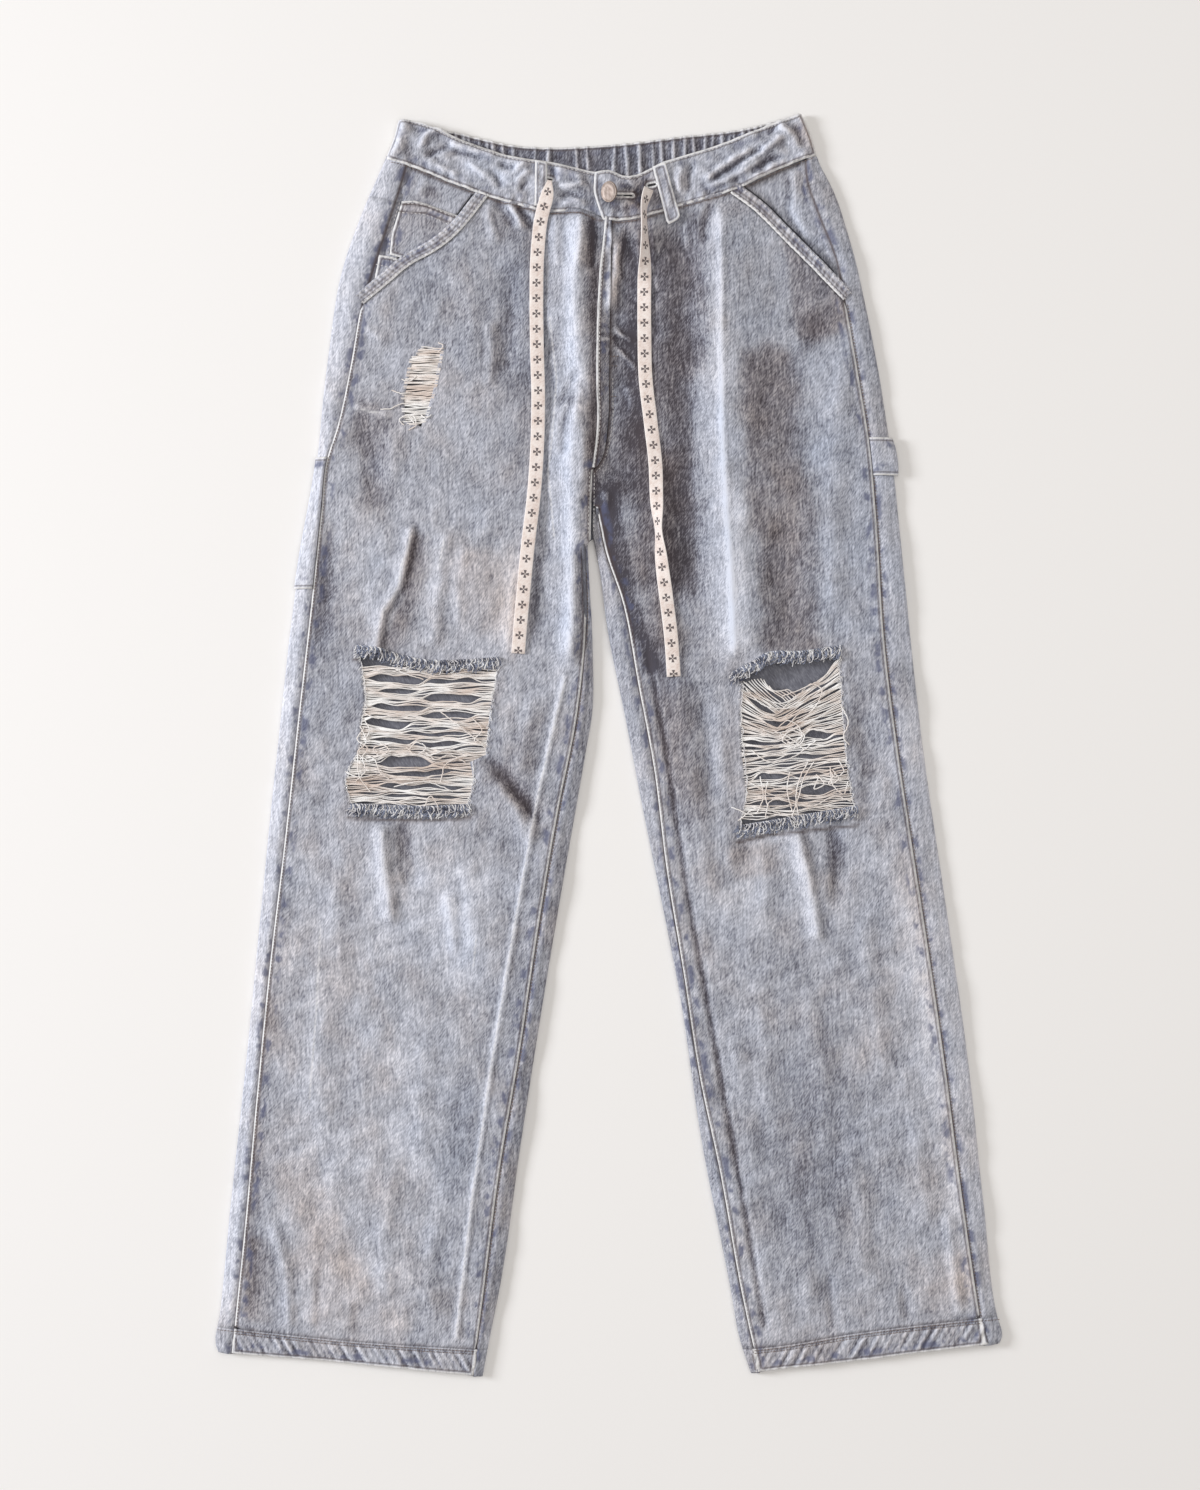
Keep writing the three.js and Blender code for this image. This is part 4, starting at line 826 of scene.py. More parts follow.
def make_piece(name, points, faces, *materials):
    """A shaded piece from points in millimetres."""
    mesh = bpy.data.meshes.new(name)
    mesh.from_pydata((np.asarray(points, float) * MILLIMETRE).tolist(), [], np.asarray(faces).tolist())
    for material in materials:
        mesh.materials.append(material)
    mesh.shade_smooth()
    return new_object(name, mesh)


def write_attribute(piece, name, values):
    attribute = piece.data.attributes.new(name, "FLOAT", "POINT")
    attribute.data.foreach_set("value", np.asarray(values, np.float32).ravel())


def declare(piece, nodes):
    piece.name = nodes[0] + "_made"
    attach(piece, "root")
    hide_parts(*nodes)
    return piece


def declare_cloth(piece, name):
    """Names a finished sheet of cloth, hangs it on the root and hides the solid part it replaces."""
    declare(piece, [name])


def give_wall(piece, wall):
    """The cloth's thickness, on the side away from its face and in its inner material."""
    solidify = piece.modifiers.new("wall", "SOLIDIFY")
    solidify.thickness = wall * MILLIMETRE
    solidify.offset = -1
    solidify.material_offset = 1


def resampled(loop, cell):
    """A closed line with no step much longer than a cell."""
    points = []
    for (x0, y0), (x1, y1) in zip(loop, np.roll(loop, -1, axis=0)):
        steps = max(1, round(math.hypot(x1 - x0, y1 - y0) / (1.3 * cell)))
        shares = np.arange(steps)[:, None] / steps
        points.append(np.array([(x0, y0)]) * (1 - shares) + np.array([(x1, y1)]) * shares)
    return np.vstack(points)


def inside(loops, points):
    """True for points inside the first line and outside the others."""
    crossings = np.zeros(len(points), int)
    x, y = points[:, 0], points[:, 1]
    for loop in loops:
        for (x0, y0), (x1, y1) in zip(loop, np.roll(loop, -1, axis=0)):
            if y0 != y1:
                spans = (y0 > y) != (y1 > y)
                crossings += spans & (x < x0 + (y - y0) * (x1 - x0) / (y1 - y0))
    return crossings % 2 == 1


def edge_distance(loops, x, y):
    closed = [np.vstack([loop, loop[:1]]) for loop in loops]
    return np.min([distance_to(loop, x, y) for loop in closed], axis=0)


def flat_cloth(outline, cell, holes=()):
    """Plan points and triangles of a piece of cloth, exact at its edges."""
    loops = [resampled(np.array(loop, float), cell) for loop in (outline, *holes)]
    low, high = loops[0].min(axis=0), loops[0].max(axis=0)
    rows = np.arange(low[1], high[1], cell * 0.87)
    x, y = np.meshgrid(np.arange(low[0], high[0], cell), rows)
    x = x + (np.arange(len(rows)) % 2)[:, None] * cell / 2
    inner = np.column_stack([x.ravel(), y.ravel()])
    inner = inner[inside(loops, inner)]
    inner = inner[edge_distance(loops, inner[:, 0], inner[:, 1]) > 0.55 * cell]
    border, edges = [], []
    for loop in loops:
        first = sum(len(part) for part in border)
        edges += [(first + index, first + (index + 1) % len(loop)) for index in range(len(loop))]
        border.append(loop)
    points = np.vstack([*border, inner])
    found = delaunay_2d_cdt([Vector(point) for point in points], edges, [], 0, 1e-6, False)
    plan = np.array([point[:] for point in found[0]])
    faces = np.array(found[2])
    faces = faces[inside(loops, plan[faces].mean(axis=1))]
    first, second = plan[faces[:, 1]] - plan[faces[:, 0]], plan[faces[:, 2]] - plan[faces[:, 0]]
    faces = faces[first[:, 0] * second[:, 1] - first[:, 1] * second[:, 0] > 0.02]
    used, faces = np.unique(faces, return_inverse=True)
    return plan[used], faces.reshape(-1, 3)


def around(top, reach, x, y):
    """The mean height at four places round each point."""
    return (top(x + reach, y) + top(x - reach, y) + top(x, y + reach) + top(x, y - reach)) / 4


def wear_and_painted_light(top, x, y):
    """Wear and painted light that go with the relief: crests paler than hollows, as wear on the crests and
    painted shade in the hollows; slopes facing left painted paler and bluer as if lit from the left, slopes
    facing right painted warmer as shade.
    """
    level = top(x, y)
    rise = top(x + WEAR_AND_LIGHT_NEAR, y) - top(x - WEAR_AND_LIGHT_NEAR, y)
    close = level - around(top, WEAR_AND_LIGHT_NEAR, x, y)
    wide = level - around(top, WEAR_AND_LIGHT_FAR, x, y)
    slope = np.clip(rise / (2 * WEAR_AND_LIGHT_NEAR), -0.8, 0.8)
    return np.clip(0.55 * close + 0.07 * wide, -0.6, 0.6) + 0.34 * slope, -1.1 * slope


def patch_share(outline, rim, x, y):
    """1 inside an outline, falling to 0 across its rim."""
    loop = np.array(outline, dtype=float)
    depth = edge_distance([loop], x, y)
    return soft_step(np.where(inside([loop], np.column_stack([x, y])), depth, -depth), -rim, rim)


def finish_attributes(piece, x, y, edge, top=None, shades=(), creases=(), painted_shadow=None, shadows=(),
                      patches=(), base=(0.0, 0.0)):
    """Writes what the denim's materials read at each point: tone and warmth from dye and wear with painted
    light and shade, edges, creases, and painted shadow where one piece stands over another.
    """
    shade = np.full(np.shape(x), float(base[0]))
    warmth = np.full(np.shape(x), float(base[1]))
    if top is not None:
        # Wear on the crests, with painted light on slopes facing left and painted shade in hollows and on
        # slopes facing right.
        worn, painted_light_tint = wear_and_painted_light(top, x, y)
        shade += worn
        warmth += painted_light_tint
    # Painted shadow where one piece stands over another, from the given lines.
    if painted_shadow is None:
        painted_shadow = np.zeros(np.shape(x))
    for line, reach in shadows:
        painted_shadow = np.maximum(painted_shadow, 0.85 * np.exp(-((distance_to(line, x, y) / reach) ** 2)))
    parts = [(soft_ridge(line, left, right, x, y), light, warm) for line, light, warm, left, right in shades]
    parts += [(patch_share(outline, rim, x, y), light, warm) for outline, light, warm, rim in patches]
    for strength, lighter, warmer in parts:
        shade += lighter * strength
        warmth += warmer * strength
    crease = np.full(np.shape(x), 30.0)
    for line in creases:
        offset, along, length = from_line(line, x, y)
        fading = 1.5 * (1 - soft_step(np.minimum(along, length - along), 0, 12))
        crease = np.minimum(crease, np.abs(offset) + fading)
    found = {"shade": shade, "warmth": warmth, "edge": edge, "crease": crease, "painted_shadow": painted_shadow}
    for name, values in found.items():
        write_attribute(piece, name, values)


def cloth_piece(name, outline, top, material, cell=2.4, wall=DENIM_WALL, holes=(), worn=None, **finish):
    """A panel of cloth over a plan outline, its face at the given height. Worn lists its pale edges, each
    with a painted shadow line just inside.
    """
    plan, faces = flat_cloth(outline, cell, holes)
    x, y = plan[:, 0], plan[:, 1]
    piece = make_piece(name, np.column_stack([x, y, top(x, y)]), faces, material, SLATE_INSIDE)
    if worn is None:
        worn = [np.vstack([loop, loop[:1]]) for loop in (outline, *holes)]
    edge = np.min([distance_to(line, x, y) for line in worn], axis=0)
    finish_attributes(piece, x, y, edge, top, **finish)
    give_wall(piece, wall)
    return piece


# Geometry Nodes trees


def new_tree(name, inputs):
    tree = bpy.data.node_groups.new(name, "GeometryNodeTree")
    tree.interface.new_socket("Geometry", in_out="INPUT", socket_type="NodeSocketGeometry")
    for label, kind in inputs:
        tree.interface.new_socket(label, in_out="INPUT", socket_type=kind)
    tree.interface.new_socket("Geometry", in_out="OUTPUT", socket_type="NodeSocketGeometry")
    return tree, tree.nodes.new("NodeGroupInput").outputs


def end_tree(tree, geometry, material):
    """Smooths and realizes what the tree made, and gives it its material."""
    smooth = add_node(tree, "GeometryNodeSetShadeSmooth", {0: geometry})
    real = add_node(tree, "GeometryNodeRealizeInstances", {0: smooth.outputs[0]})
    finished = add_node(tree, "GeometryNodeSetMaterial", {"Geometry": real.outputs[0], "Material": material})
    output = tree.nodes.new("NodeGroupOutput")
    tree.links.new(finished.outputs[0], output.inputs[0])
    return tree


def tube_along(tree, curves, radius, sides):
    ring = add_node(tree, "GeometryNodeCurvePrimitiveCircle", {"Resolution": sides, "Radius": radius})
    inputs = {0: curves, 1: ring.outputs[0], "Fill Caps": True}
    return add_node(tree, "GeometryNodeCurveToMesh", inputs).outputs[0]


def spaced_along(tree, given):
    """Evenly spaced places along each line of the tree's geometry."""
    line = add_node(tree, "GeometryNodeMeshToCurve", {0: given["Geometry"]})
    inputs = {0: line.outputs[0], "Length": given["Spacing"]}
    return add_node(tree, "GeometryNodeCurveToPoints", inputs, mode="LENGTH").outputs


def placed_on(tree, places, shape, turn, scale):
    """A real copy of a shape at each place."""
    inputs = {"Points": places[0], "Instance": shape, "Rotation": turn, "Scale": scale}
    copies = add_node(tree, "GeometryNodeInstanceOnPoints", inputs)
    return add_node(tree, "GeometryNodeRealizeInstances", {0: copies.outputs[0]}).outputs[0]


def thread_tree():
    """A round thread along each line."""
    tree, given = new_tree("thread", [
        ("Radius", "NodeSocketFloat"), ("Sides", "NodeSocketInt"), ("Material", "NodeSocketMaterial")])
    line = add_node(tree, "GeometryNodeMeshToCurve", {0: given["Geometry"]})
    tube = tube_along(tree, line.outputs[0], given["Radius"], given["Sides"])
    return end_tree(tree, tube, given["Material"])


def stitch_tree():
    """A row of stitches along each line, each a small drawn-out bead."""
    tree, given = new_tree("stitch_row", [
        ("Spacing", "NodeSocketFloat"), ("Size", "NodeSocketVector"), ("Material", "NodeSocketMaterial")])
    places = spaced_along(tree, given)
    turn = add_node(tree, "FunctionNodeAlignRotationToVector", {"Vector": places["Tangent"]}, axis="X")
    bead = add_node(tree, "GeometryNodeMeshIcoSphere", {"Radius": 0.5, "Subdivisions": 1})
    row = placed_on(tree, places, bead.outputs[0], turn.outputs[0], given["Size"])
    return end_tree(tree, row, given["Material"])


def fringe_tree():
    """Short curling yarn ends that hang from each line."""
    tree, given = new_tree("fringe", [
        ("Spacing", "NodeSocketFloat"), ("Length", "NodeSocketFloat"), ("Radius", "NodeSocketFloat"),
        ("Curl", "NodeSocketFloat"), ("Seed", "NodeSocketInt"), ("Material", "NodeSocketMaterial")])
    places = spaced_along(tree, given)
    bow = add_node(tree, "GeometryNodeCurveQuadraticBezier", {
        "Resolution": 9, "Start": (0, 0, 0), "Middle": (0.45, -0.5, 0.35), "End": (-0.1, -1.0, 0.0)})
    turn = add_node(tree, "FunctionNodeRandomValue", {
        "Min": (-0.3, -0.9, -0.65), "Max": (0.3, 0.9, 0.65), "Seed": given["Seed"]}, data_type="FLOAT_VECTOR")
    inputs = {2: 0.55, 3: 1.15, "Seed": given["Seed"]}
    size = add_node(tree, "FunctionNodeRandomValue", inputs, data_type="FLOAT")
    scale = calculate(tree, "MULTIPLY", size.outputs[1], given["Length"])
    ends = placed_on(tree, places, bow.outputs[0], turn.outputs[0], scale)
    position = add_node(tree, "GeometryNodeInputPosition")
    inputs = {"Vector": position.outputs[0], "Scale": 260.0, "Detail": 1.0}
    wander = add_node(tree, "ShaderNodeTexNoise", inputs)
    centred = add_node(tree, "ShaderNodeVectorMath", {0: wander.outputs["Color"], 1: (-0.5, -0.5, -0.4)})
    parameter = add_node(tree, "GeometryNodeSplineParameter")
    reach = calculate(tree, "MULTIPLY", parameter.outputs[0], given["Curl"])
    inputs = {0: centred.outputs[0], "Scale": reach}
    offset = add_node(tree, "ShaderNodeVectorMath", inputs, operation="SCALE")
    moved = add_node(tree, "GeometryNodeSetPosition", {"Geometry": ends, "Offset": offset.outputs[0]})
    tube = tube_along(tree, moved.outputs[0], given["Radius"], 4)
    return end_tree(tree, tube, given["Material"])


def along_lines(name, tree, lines, slot, material, **sizes):
    """Runs a tree along lines and keeps the plain mesh that it makes. Lines and sizes are in millimetres."""
    values = {"Material": material}
    for label, size in sizes.items():
        is_count = isinstance(size, int)
        values[label] = size if is_count else (np.array(size) * MILLIMETRE).tolist()
    points, edges = [], []
    for line in lines:
        start = len(points)
        points += (np.asarray(line, float) * MILLIMETRE).tolist()
        edges += [(start + index, start + index + 1) for index in range(len(line) - 1)]
    mesh = bpy.data.meshes.new(name + "_path")
    mesh.from_pydata(points, edges, [])
    path = new_object(name + "_path", mesh)
    modifier = path.modifiers.new("follow", "NODES")
    modifier.node_group = tree
    for socket in tree.interface.items_tree:
        if socket.in_out == "INPUT" and socket.name in values:
            modifier[socket.identifier] = values[socket.name]
    evaluated = path.evaluated_get(bpy.context.evaluated_depsgraph_get())
    made = bpy.data.meshes.new_from_object(evaluated)
    made.name = name
    piece = new_object(name, made)
    bpy.data.objects.remove(path)
    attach(piece, "root")
    return piece


# Camera


def set_camera():
    camera = new_object("camera", bpy.data.cameras.new("camera"))
    camera.data.lens = 50
    camera.data.sensor_width = 36
    camera.location = (-0.0074, 0, 1.703)
    bpy.context.scene.camera = camera


# Drawstrings


def rounded_strip(half_width, half_thickness):
    """Section of a flat tape, with its edges rounded."""
    turns = np.radians(np.linspace(-90, 90, 5))
    reach = half_width - half_thickness
    right = [(reach + half_thickness * math.cos(turn), half_thickness * math.sin(turn)) for turn in turns]
    left = [(-across, -up) for across, up in right]
    between = [(reach * share, half_thickness) for share in (0.5, 0, -0.5)]
    under = [(-across, -up) for across, up in between]
    return np.array(right + between + left + under)


def tape_route(centre_line, pinched):
    """Centre points, rolls, widths and runs of a tape lying on the cloth. Pinched: y, reach, width left."""
    line = smooth_line(centre_line, 3.0)
    x, y, roll = line[:, 0], line[:, 1], np.radians(line[:, 2])
    run = np.gradient(line[:, :2], axis=0)
    run /= np.linalg.norm(run, axis=1)[:, None]
    width = np.ones(len(line))
    for (place, reach, share) in pinched:
        width -= (1 - share) * np.exp(-(((y - place) / reach) ** 2))
    spread = TAPE_WIDTH / 2 * np.cos(roll) * width
    under = [spread * share for share in (-1, -0.5, 0, 0.5, 1)]
    ground = np.max([cover_top(x - run[:, 1] * away, y + run[:, 0] * away) for away in under], axis=0)
    eased = np.convolve(np.pad(ground, 4, mode="edge"), np.ones(9) / 9, mode="valid")
    ground = np.maximum(eased, ground - 0.3)
    standing = TAPE_WIDTH / 2 * np.abs(np.sin(roll)) * width + TAPE_THICKNESS / 2 * np.cos(roll)
    return np.column_stack([x, y, ground + standing + 0.15]), roll, width, run


def drawstring(name, centre_line, pinched):
    centres, roll, width, run = tape_route(centre_line, pinched)
    section = rounded_strip(TAPE_WIDTH / 2, TAPE_THICKNESS / 2)
    count = len(section)
    cosine, sine, width = np.cos(roll)[:, None], np.sin(roll)[:, None], width[:, None]
    flat = section[None, :, 0] * cosine * width - section[None, :, 1] * sine
    rise = section[None, :, 0] * sine * width + section[None, :, 1] * cosine
    x = centres[:, 0, None] - run[:, 1, None] * flat
    y = centres[:, 1, None] + run[:, 0, None] * flat
    points = np.stack([x, y, centres[:, 2, None] + rise], axis=2).reshape(-1, 3)
    faces = []
    for ring in range(len(centres) - 1):
        for corner in range(count):
            a, b = ring * count + corner, ring * count + (corner + 1) % count
            faces.append((a, b, b + count, a + count))
    last = (len(centres) - 1) * count
    faces += [tuple(range(count))[::-1], tuple(range(last, last + count))]
    piece = make_piece(name, points, np.array(faces, dtype=object), TAPE_COTTON)
    lengths = np.linalg.norm(np.diff(centres, axis=0), axis=1)
    along = np.concatenate([[0], np.cumsum(lengths)])
    layer = piece.data.uv_layers.new(name="UVMap")
    for loop in piece.data.loops:
        ring, corner = divmod(loop.vertex_index, count)
        layer.data[loop.index].uv = (along[ring] + 3.0, section[corner, 0])
    declare(piece, [name])


# Panels

LEG_FINISH = {
    "shades": LEG_SHADES, "creases": FINE_CREASES, "shadows": SEAM_SHADOWS, "patches": LEG_PATCHES}


def front_left():
    seam = stretch_down(SIDE_SEAM_LEFT, 360, -476)
    hem = stretch_across(HEM_SEAM_LEFT, -306.5, -110)
    inseam = stretch_down(INSEAM_LEFT, 160, -495)[::-1]
    underlap = stretch_down(FLY_STITCH, 428, 236)[::-1]
    waist = shifted(stretch_across(WAIST_LEFT, -99, -8), 0, 2.5)[::-1]
    outline = np.vstack([
        MOUTH_LEFT[1:], seam[1:], hem[1:], inseam[1:], CENTRE_FRONT[::-1], underlap, waist[1:]])
    piece = cloth_piece(
        "front_leg_left", outline, front_face, LEG_DENIM, holes=[KNEE_RIP_LEFT, THIGH_RIP],
        worn=[seam, inseam, CENTRE_FRONT], **LEG_FINISH)
    declare_cloth(piece, "front_leg_left")


def front_right():
    waist = shifted(stretch_across(WAIST_RIGHT, 3, 99), 0, 2.5)
    seam = stretch_down(SIDE_SEAM_RIGHT, 362, -467)
    hem = stretch_across(HEM_SEAM_RIGHT, 119, 303)[::-1]
    inseam = stretch_down(INSEAM_RIGHT, 194, -494)[::-1]
    fly = shifted(stretch_down(FLY_STITCH, 429, 226)[::-1], 0.3, 0)
    centre = [(-14.0, 200), (-13.2, 224)]
    outline = np.vstack([waist, MOUTH_RIGHT[1:], seam[1:], hem[1:], inseam[1:], centre, fly[1:]])
    piece = cloth_piece(
        "front_leg_right", outline, front_face, LEG_DENIM, holes=[KNEE_RIP_RIGHT], worn=[seam, inseam],
        **LEG_FINISH)
    declare_cloth(piece, "front_leg_right")


def fly_placket():
    outline = np.vstack([stretch_down(FLY_EDGE, 433, 227), stretch_down(FLY_STITCH, 431, 227)[::-1]])

    def top(x, y):
        ladder = 0.9 * np.sin(y / 1.25) * np.exp(-(((y - 333) / 12) ** 2))
        bulge = 1.3 * soft_ridge([(-2, 424), (2, 412), (-4, 400)], 3, 3, x, y)
        return leg_top(x, y) + 2.0 + ladder + bulge

    piece = cloth_piece("fly_placket", outline, top, LEG_DENIM, 1.6, worn=[FLY_EDGE], shades=LEG_SHADES)
    declare_cloth(piece, "fly_placket")


# Back panels: on the ground, turned up round both edges of each leg and back over the top


def turned_edge(edge, seam, high, low, side, rows):
    """Points of a turned edge, one row for each place down the leg, from the seam to the ground."""
    share = np.linspace(0, 1, rows)
    y = np.full(rows, 0.0)
    x = across_at(edge, high(np.zeros(rows)) * (1 - share) + low(np.zeros(rows)) * share)
    for _ in range(4):
        y = high(x) * (1 - share) + low(x) * share
        x = across_at(edge, y)
    reach = np.abs(across_at(seam, y) - x)
    turns = np.radians(np.linspace(90, -90, 9))
    flat = np.linspace(1, 0, 9)
    tucked = np.array([4.0, 1.0])
    away = np.hstack([
        reach[:, None] + tucked, TURN + (reach - TURN - 0.2)[:, None] * flat,
        np.tile(TURN * (1 - np.cos(turns[1:])), (rows, 1))])
    across = x[:, None] + side * away
    down = high(across) * (1 - share[:, None]) + low(across) * share[:, None]
    height = leg_top(across, down) - SEAM_STEP / 2
    middle = (away - TURN) / (reach[:, None] - TURN)
    height[:, 2:11] += 1.6 * np.sin(np.pi * np.clip(middle[:, 2:11], 0, 1))
    height[:, :2] -= 1.0
    crown = height[:, 10:11]
    height[:, 11:] = crown / 2 + crown / 2 * np.sin(turns[1:])
    seam_distance = np.abs(reach[:, None] - away)
    return np.stack([across, down, np.maximum(height, GROUND)], axis=2), seam_distance


def strip_faces(rows, columns, flip):
    faces = []
    for row in range(rows - 1):
        for column in range(columns - 1):
            a = row * columns + column
            face = (a, a + 1, a + 1 + columns, a + columns)
            faces.append(face[::-1] if flip else face)
    return faces


def back_piece(name, edges, floor, wall=DENIM_WALL):
    """A back panel: its turned edges, and the layer on the ground between them."""
    points, faces, distance = [], [], []
    for (grid, seam_distance, flip) in edges:
        start = sum(len(part) for part in points)
        rows, columns = grid.shape[:2]
        points.append(grid.reshape(-1, 3))
        distance.append(seam_distance.ravel())
        faces += [tuple(start + corner for corner in face) for face in strip_faces(rows, columns, flip)]
    start = sum(len(part) for part in points)
    plan, triangles = flat_cloth(floor, 8.0)
    points.append(np.column_stack([plan, np.full(len(plan), GROUND)]))
    distance.append(np.full(len(plan), 40.0))
    faces += [tuple(int(start + corner) for corner in face[::-1]) for face in triangles]
    points = np.vstack(points)
    distance = np.concatenate(distance)
    keys, kept, back = np.unique(np.round(points, 3), axis=0, return_index=True, return_inverse=True)
    back = back.ravel()
    faces = [tuple(int(back[corner]) for corner in face) for face in faces]
    points, distance = points[kept], distance[kept]
    piece = make_piece(name, points, np.array(faces, dtype=object), LEG_DENIM, SLATE_INSIDE)
    x, y = points[:, 0], points[:, 1]
    # Painted shadow along the seam, where the front's edge stands over the turned edge.
    painted_shadow = np.exp(-((distance / 1.1) ** 2)) * (points[:, 2] > 3)
    finish_attributes(piece, x, y, distance + 3.4, shades=EDGE_SHADES, painted_shadow=painted_shadow)
    give_wall(piece, wall)
    return piece


# Painted light and shade, with some dye and wear, on the turned edges: line, lighter or darker, warmer or
# bluer, reach left, reach right
EDGE_SHADES = [
    ([(-172, 500), (-214, 400), (-236, 280), (-262, 80), (-290, -200), (-316, -480)], 0.42, -0.25, 14, 14),
    ([(205, 412), (228, 280), (240, 160), (252, 60)], 0.15, -0.5, 16, 6),
    ([(190, 470), (210, 380), (232, 240)], -0.25, 0.4, 6, 10),
    ([(250, 40), (274, -120), (300, -300), (318, -470)], 0.3, -0.1, 13, 6),
    ([(-17, 100), (-28, -40), (-62, -250), (-100, -480)], -0.15, 0.3, 10, 10),
    ([(0, 120), (22, -10), (60, -200), (108, -470)], -0.05, -0.2, 10, 10),
]


# What each side of the garment is cut to: name, edges, seams, hem lines and the crotch's height
SIDES = {
    -1: ("left", OUTER_LEFT, INNER_LEFT, SIDE_SEAM_LEFT, INSEAM_LEFT, HEM_SEAM_LEFT, HEM_EDGE_LEFT,
         CROTCH_LEFT),
    1: ("right", OUTER_RIGHT, INNER_RIGHT, SIDE_SEAM_RIGHT, INSEAM_RIGHT, HEM_SEAM_RIGHT, HEM_EDGE_RIGHT,
        CROTCH_RIGHT),
}


def line_level(height):
    return lambda x: np.full(np.shape(x), float(height))


def shifted_line(path, dy):
    return lambda x: along_at(path, x) + dy


def drawn_across(level, start, end):
    """Plan points of a line that runs across the garment, whose y is given by its level."""
    x = np.linspace(start, end, 24)
    return np.column_stack([x, level(x)])


def back_side(side):
    """The yoke, leg and hem of one side of the back."""
    name, outer, inner, side_seam, inseam, hem_seam, hem_edge, crotch = SIDES[side]
    yoke = shifted_line(YOKE_SEAM, 0)
    waist = shifted_line(BACK_TOP, -WAISTBAND + 2)
    hem, end = shifted_line(hem_seam, 0), shifted_line(hem_edge, 0)
    start = shifted_line(FRONT_TOP_LEFT, -32) if side < 0 else waist

    outside, outside_seam = turned_edge(outer, side_seam, start, yoke, -side, 12)
    ground = outside[:, -1, :2]
    middle = float(across_at(CENTRE_BACK, 430))
    top = drawn_across(waist, ground[0, 0], float(across_at(CENTRE_BACK, 450)))
    bottom = drawn_across(yoke, middle, ground[-1, 0])
    floor = np.vstack([ground, bottom[::-1][1:], top[::-1][:-1]])
    edges = [(outside, outside_seam, side > 0)]
    piece = back_piece(f"back_yoke_{name}", edges, floor)
    declare_cloth(piece, f"back_yoke_{name}")

    outside, outside_seam = turned_edge(outer, side_seam, yoke, hem, -side, 160)
    within, within_seam = turned_edge(inner, inseam, line_level(crotch), hem, side, 110)
    away, towards = outside[:, -1, :2], within[:, -1, :2]
    bottom = drawn_across(hem, away[-1, 0], towards[-1, 0])
    back_y = np.linspace(crotch + 6, 404, 30)
    back_line = np.column_stack([across_at(CENTRE_BACK, back_y), back_y])
    top = drawn_across(yoke, back_line[-1, 0], away[0, 0])
    floor = np.vstack([away, bottom[1:-1], towards[::-1], back_line, top[:-1]])
    edges = [(outside, outside_seam, side > 0), (within, within_seam, side < 0)]
    piece = back_piece(f"back_leg_{name}", edges, floor)
    declare_cloth(piece, f"back_leg_{name}")

    outside, outside_seam = turned_edge(outer, side_seam, hem, end, -side, 10)
    within, within_seam = turned_edge(inner, inseam, hem, end, side, 10)
    away, towards = outside[:, -1, :2], within[:, -1, :2]
    bottom = drawn_across(end, away[-1, 0], towards[-1, 0])
    top = drawn_across(hem, towards[0, 0], away[0, 0])
    floor = np.vstack([away, bottom[1:-1], towards[::-1], top[1:-1]])
    edges = [(outside, outside_seam, side > 0), (within, within_seam, side < 0)]
    piece = back_piece(f"hem_back_{name}", edges, floor, HEM_WALL)
    declare_cloth(piece, f"hem_back_{name}")


def front_hem(side):
    name, _, _, side_seam, inseam, seam_line, edge_line, _ = SIDES[side]
    start, end = (side_seam, inseam) if side < 0 else (inseam, side_seam)
    corners = [(float(across_at(start, -480)), float(across_at(end, -485))),
               (float(across_at(start, -502)), float(across_at(end, -512)))]
    upper = stretch_across(seam_line, *corners[0])
    lower = stretch_across(shifted(edge_line, 0, 1.0), *corners[1])
    outline = np.vstack([upper, lower[::-1]])

    def top(x, y):
        offset = along_at(seam_line, x) - y
        slanted = x + 0.6 * offset * side
        wave = np.sin(2 * math.pi * slanted / 10.4 + 2.2 * np.sin(x / 21))
        wave = wave * (0.65 + 0.5 * np.sin(x / 8.3 + 2))
        wave = wave + 0.55 * np.sin(2 * math.pi * slanted / 6.3 + 1.7 * np.sin(x / 13 + side))
        gathers = 0.62 * wave * soft_step(offset, 0.5, 5) * soft_step(offset, 24, 15)
        return front_face(x, y) + 0.5 + gathers - 0.8 * np.exp(-(((offset - 2.2) / 1.4) ** 2))

    piece = cloth_piece(
        f"hem_front_{name}", outline, top, LEG_DENIM, 1.7, HEM_WALL, worn=[lower, start, end],
        base=(0.0, 0.3))
    declare_cloth(piece, f"hem_front_{name}")


# Waistband


def rounded_slot(centre, length, width, turn=0.0):
    """Plan outline of a slit with round ends."""
    half = width / 2
    angles = np.radians(np.linspace(-90, 90, 7))
    right = np.column_stack([length / 2 - half + half * np.cos(angles), half * np.sin(angles)])
    points = np.vstack([right, -right])
    spin = np.array([(math.cos(turn), math.sin(turn)), (-math.sin(turn), math.cos(turn))])
    return points @ spin + centre


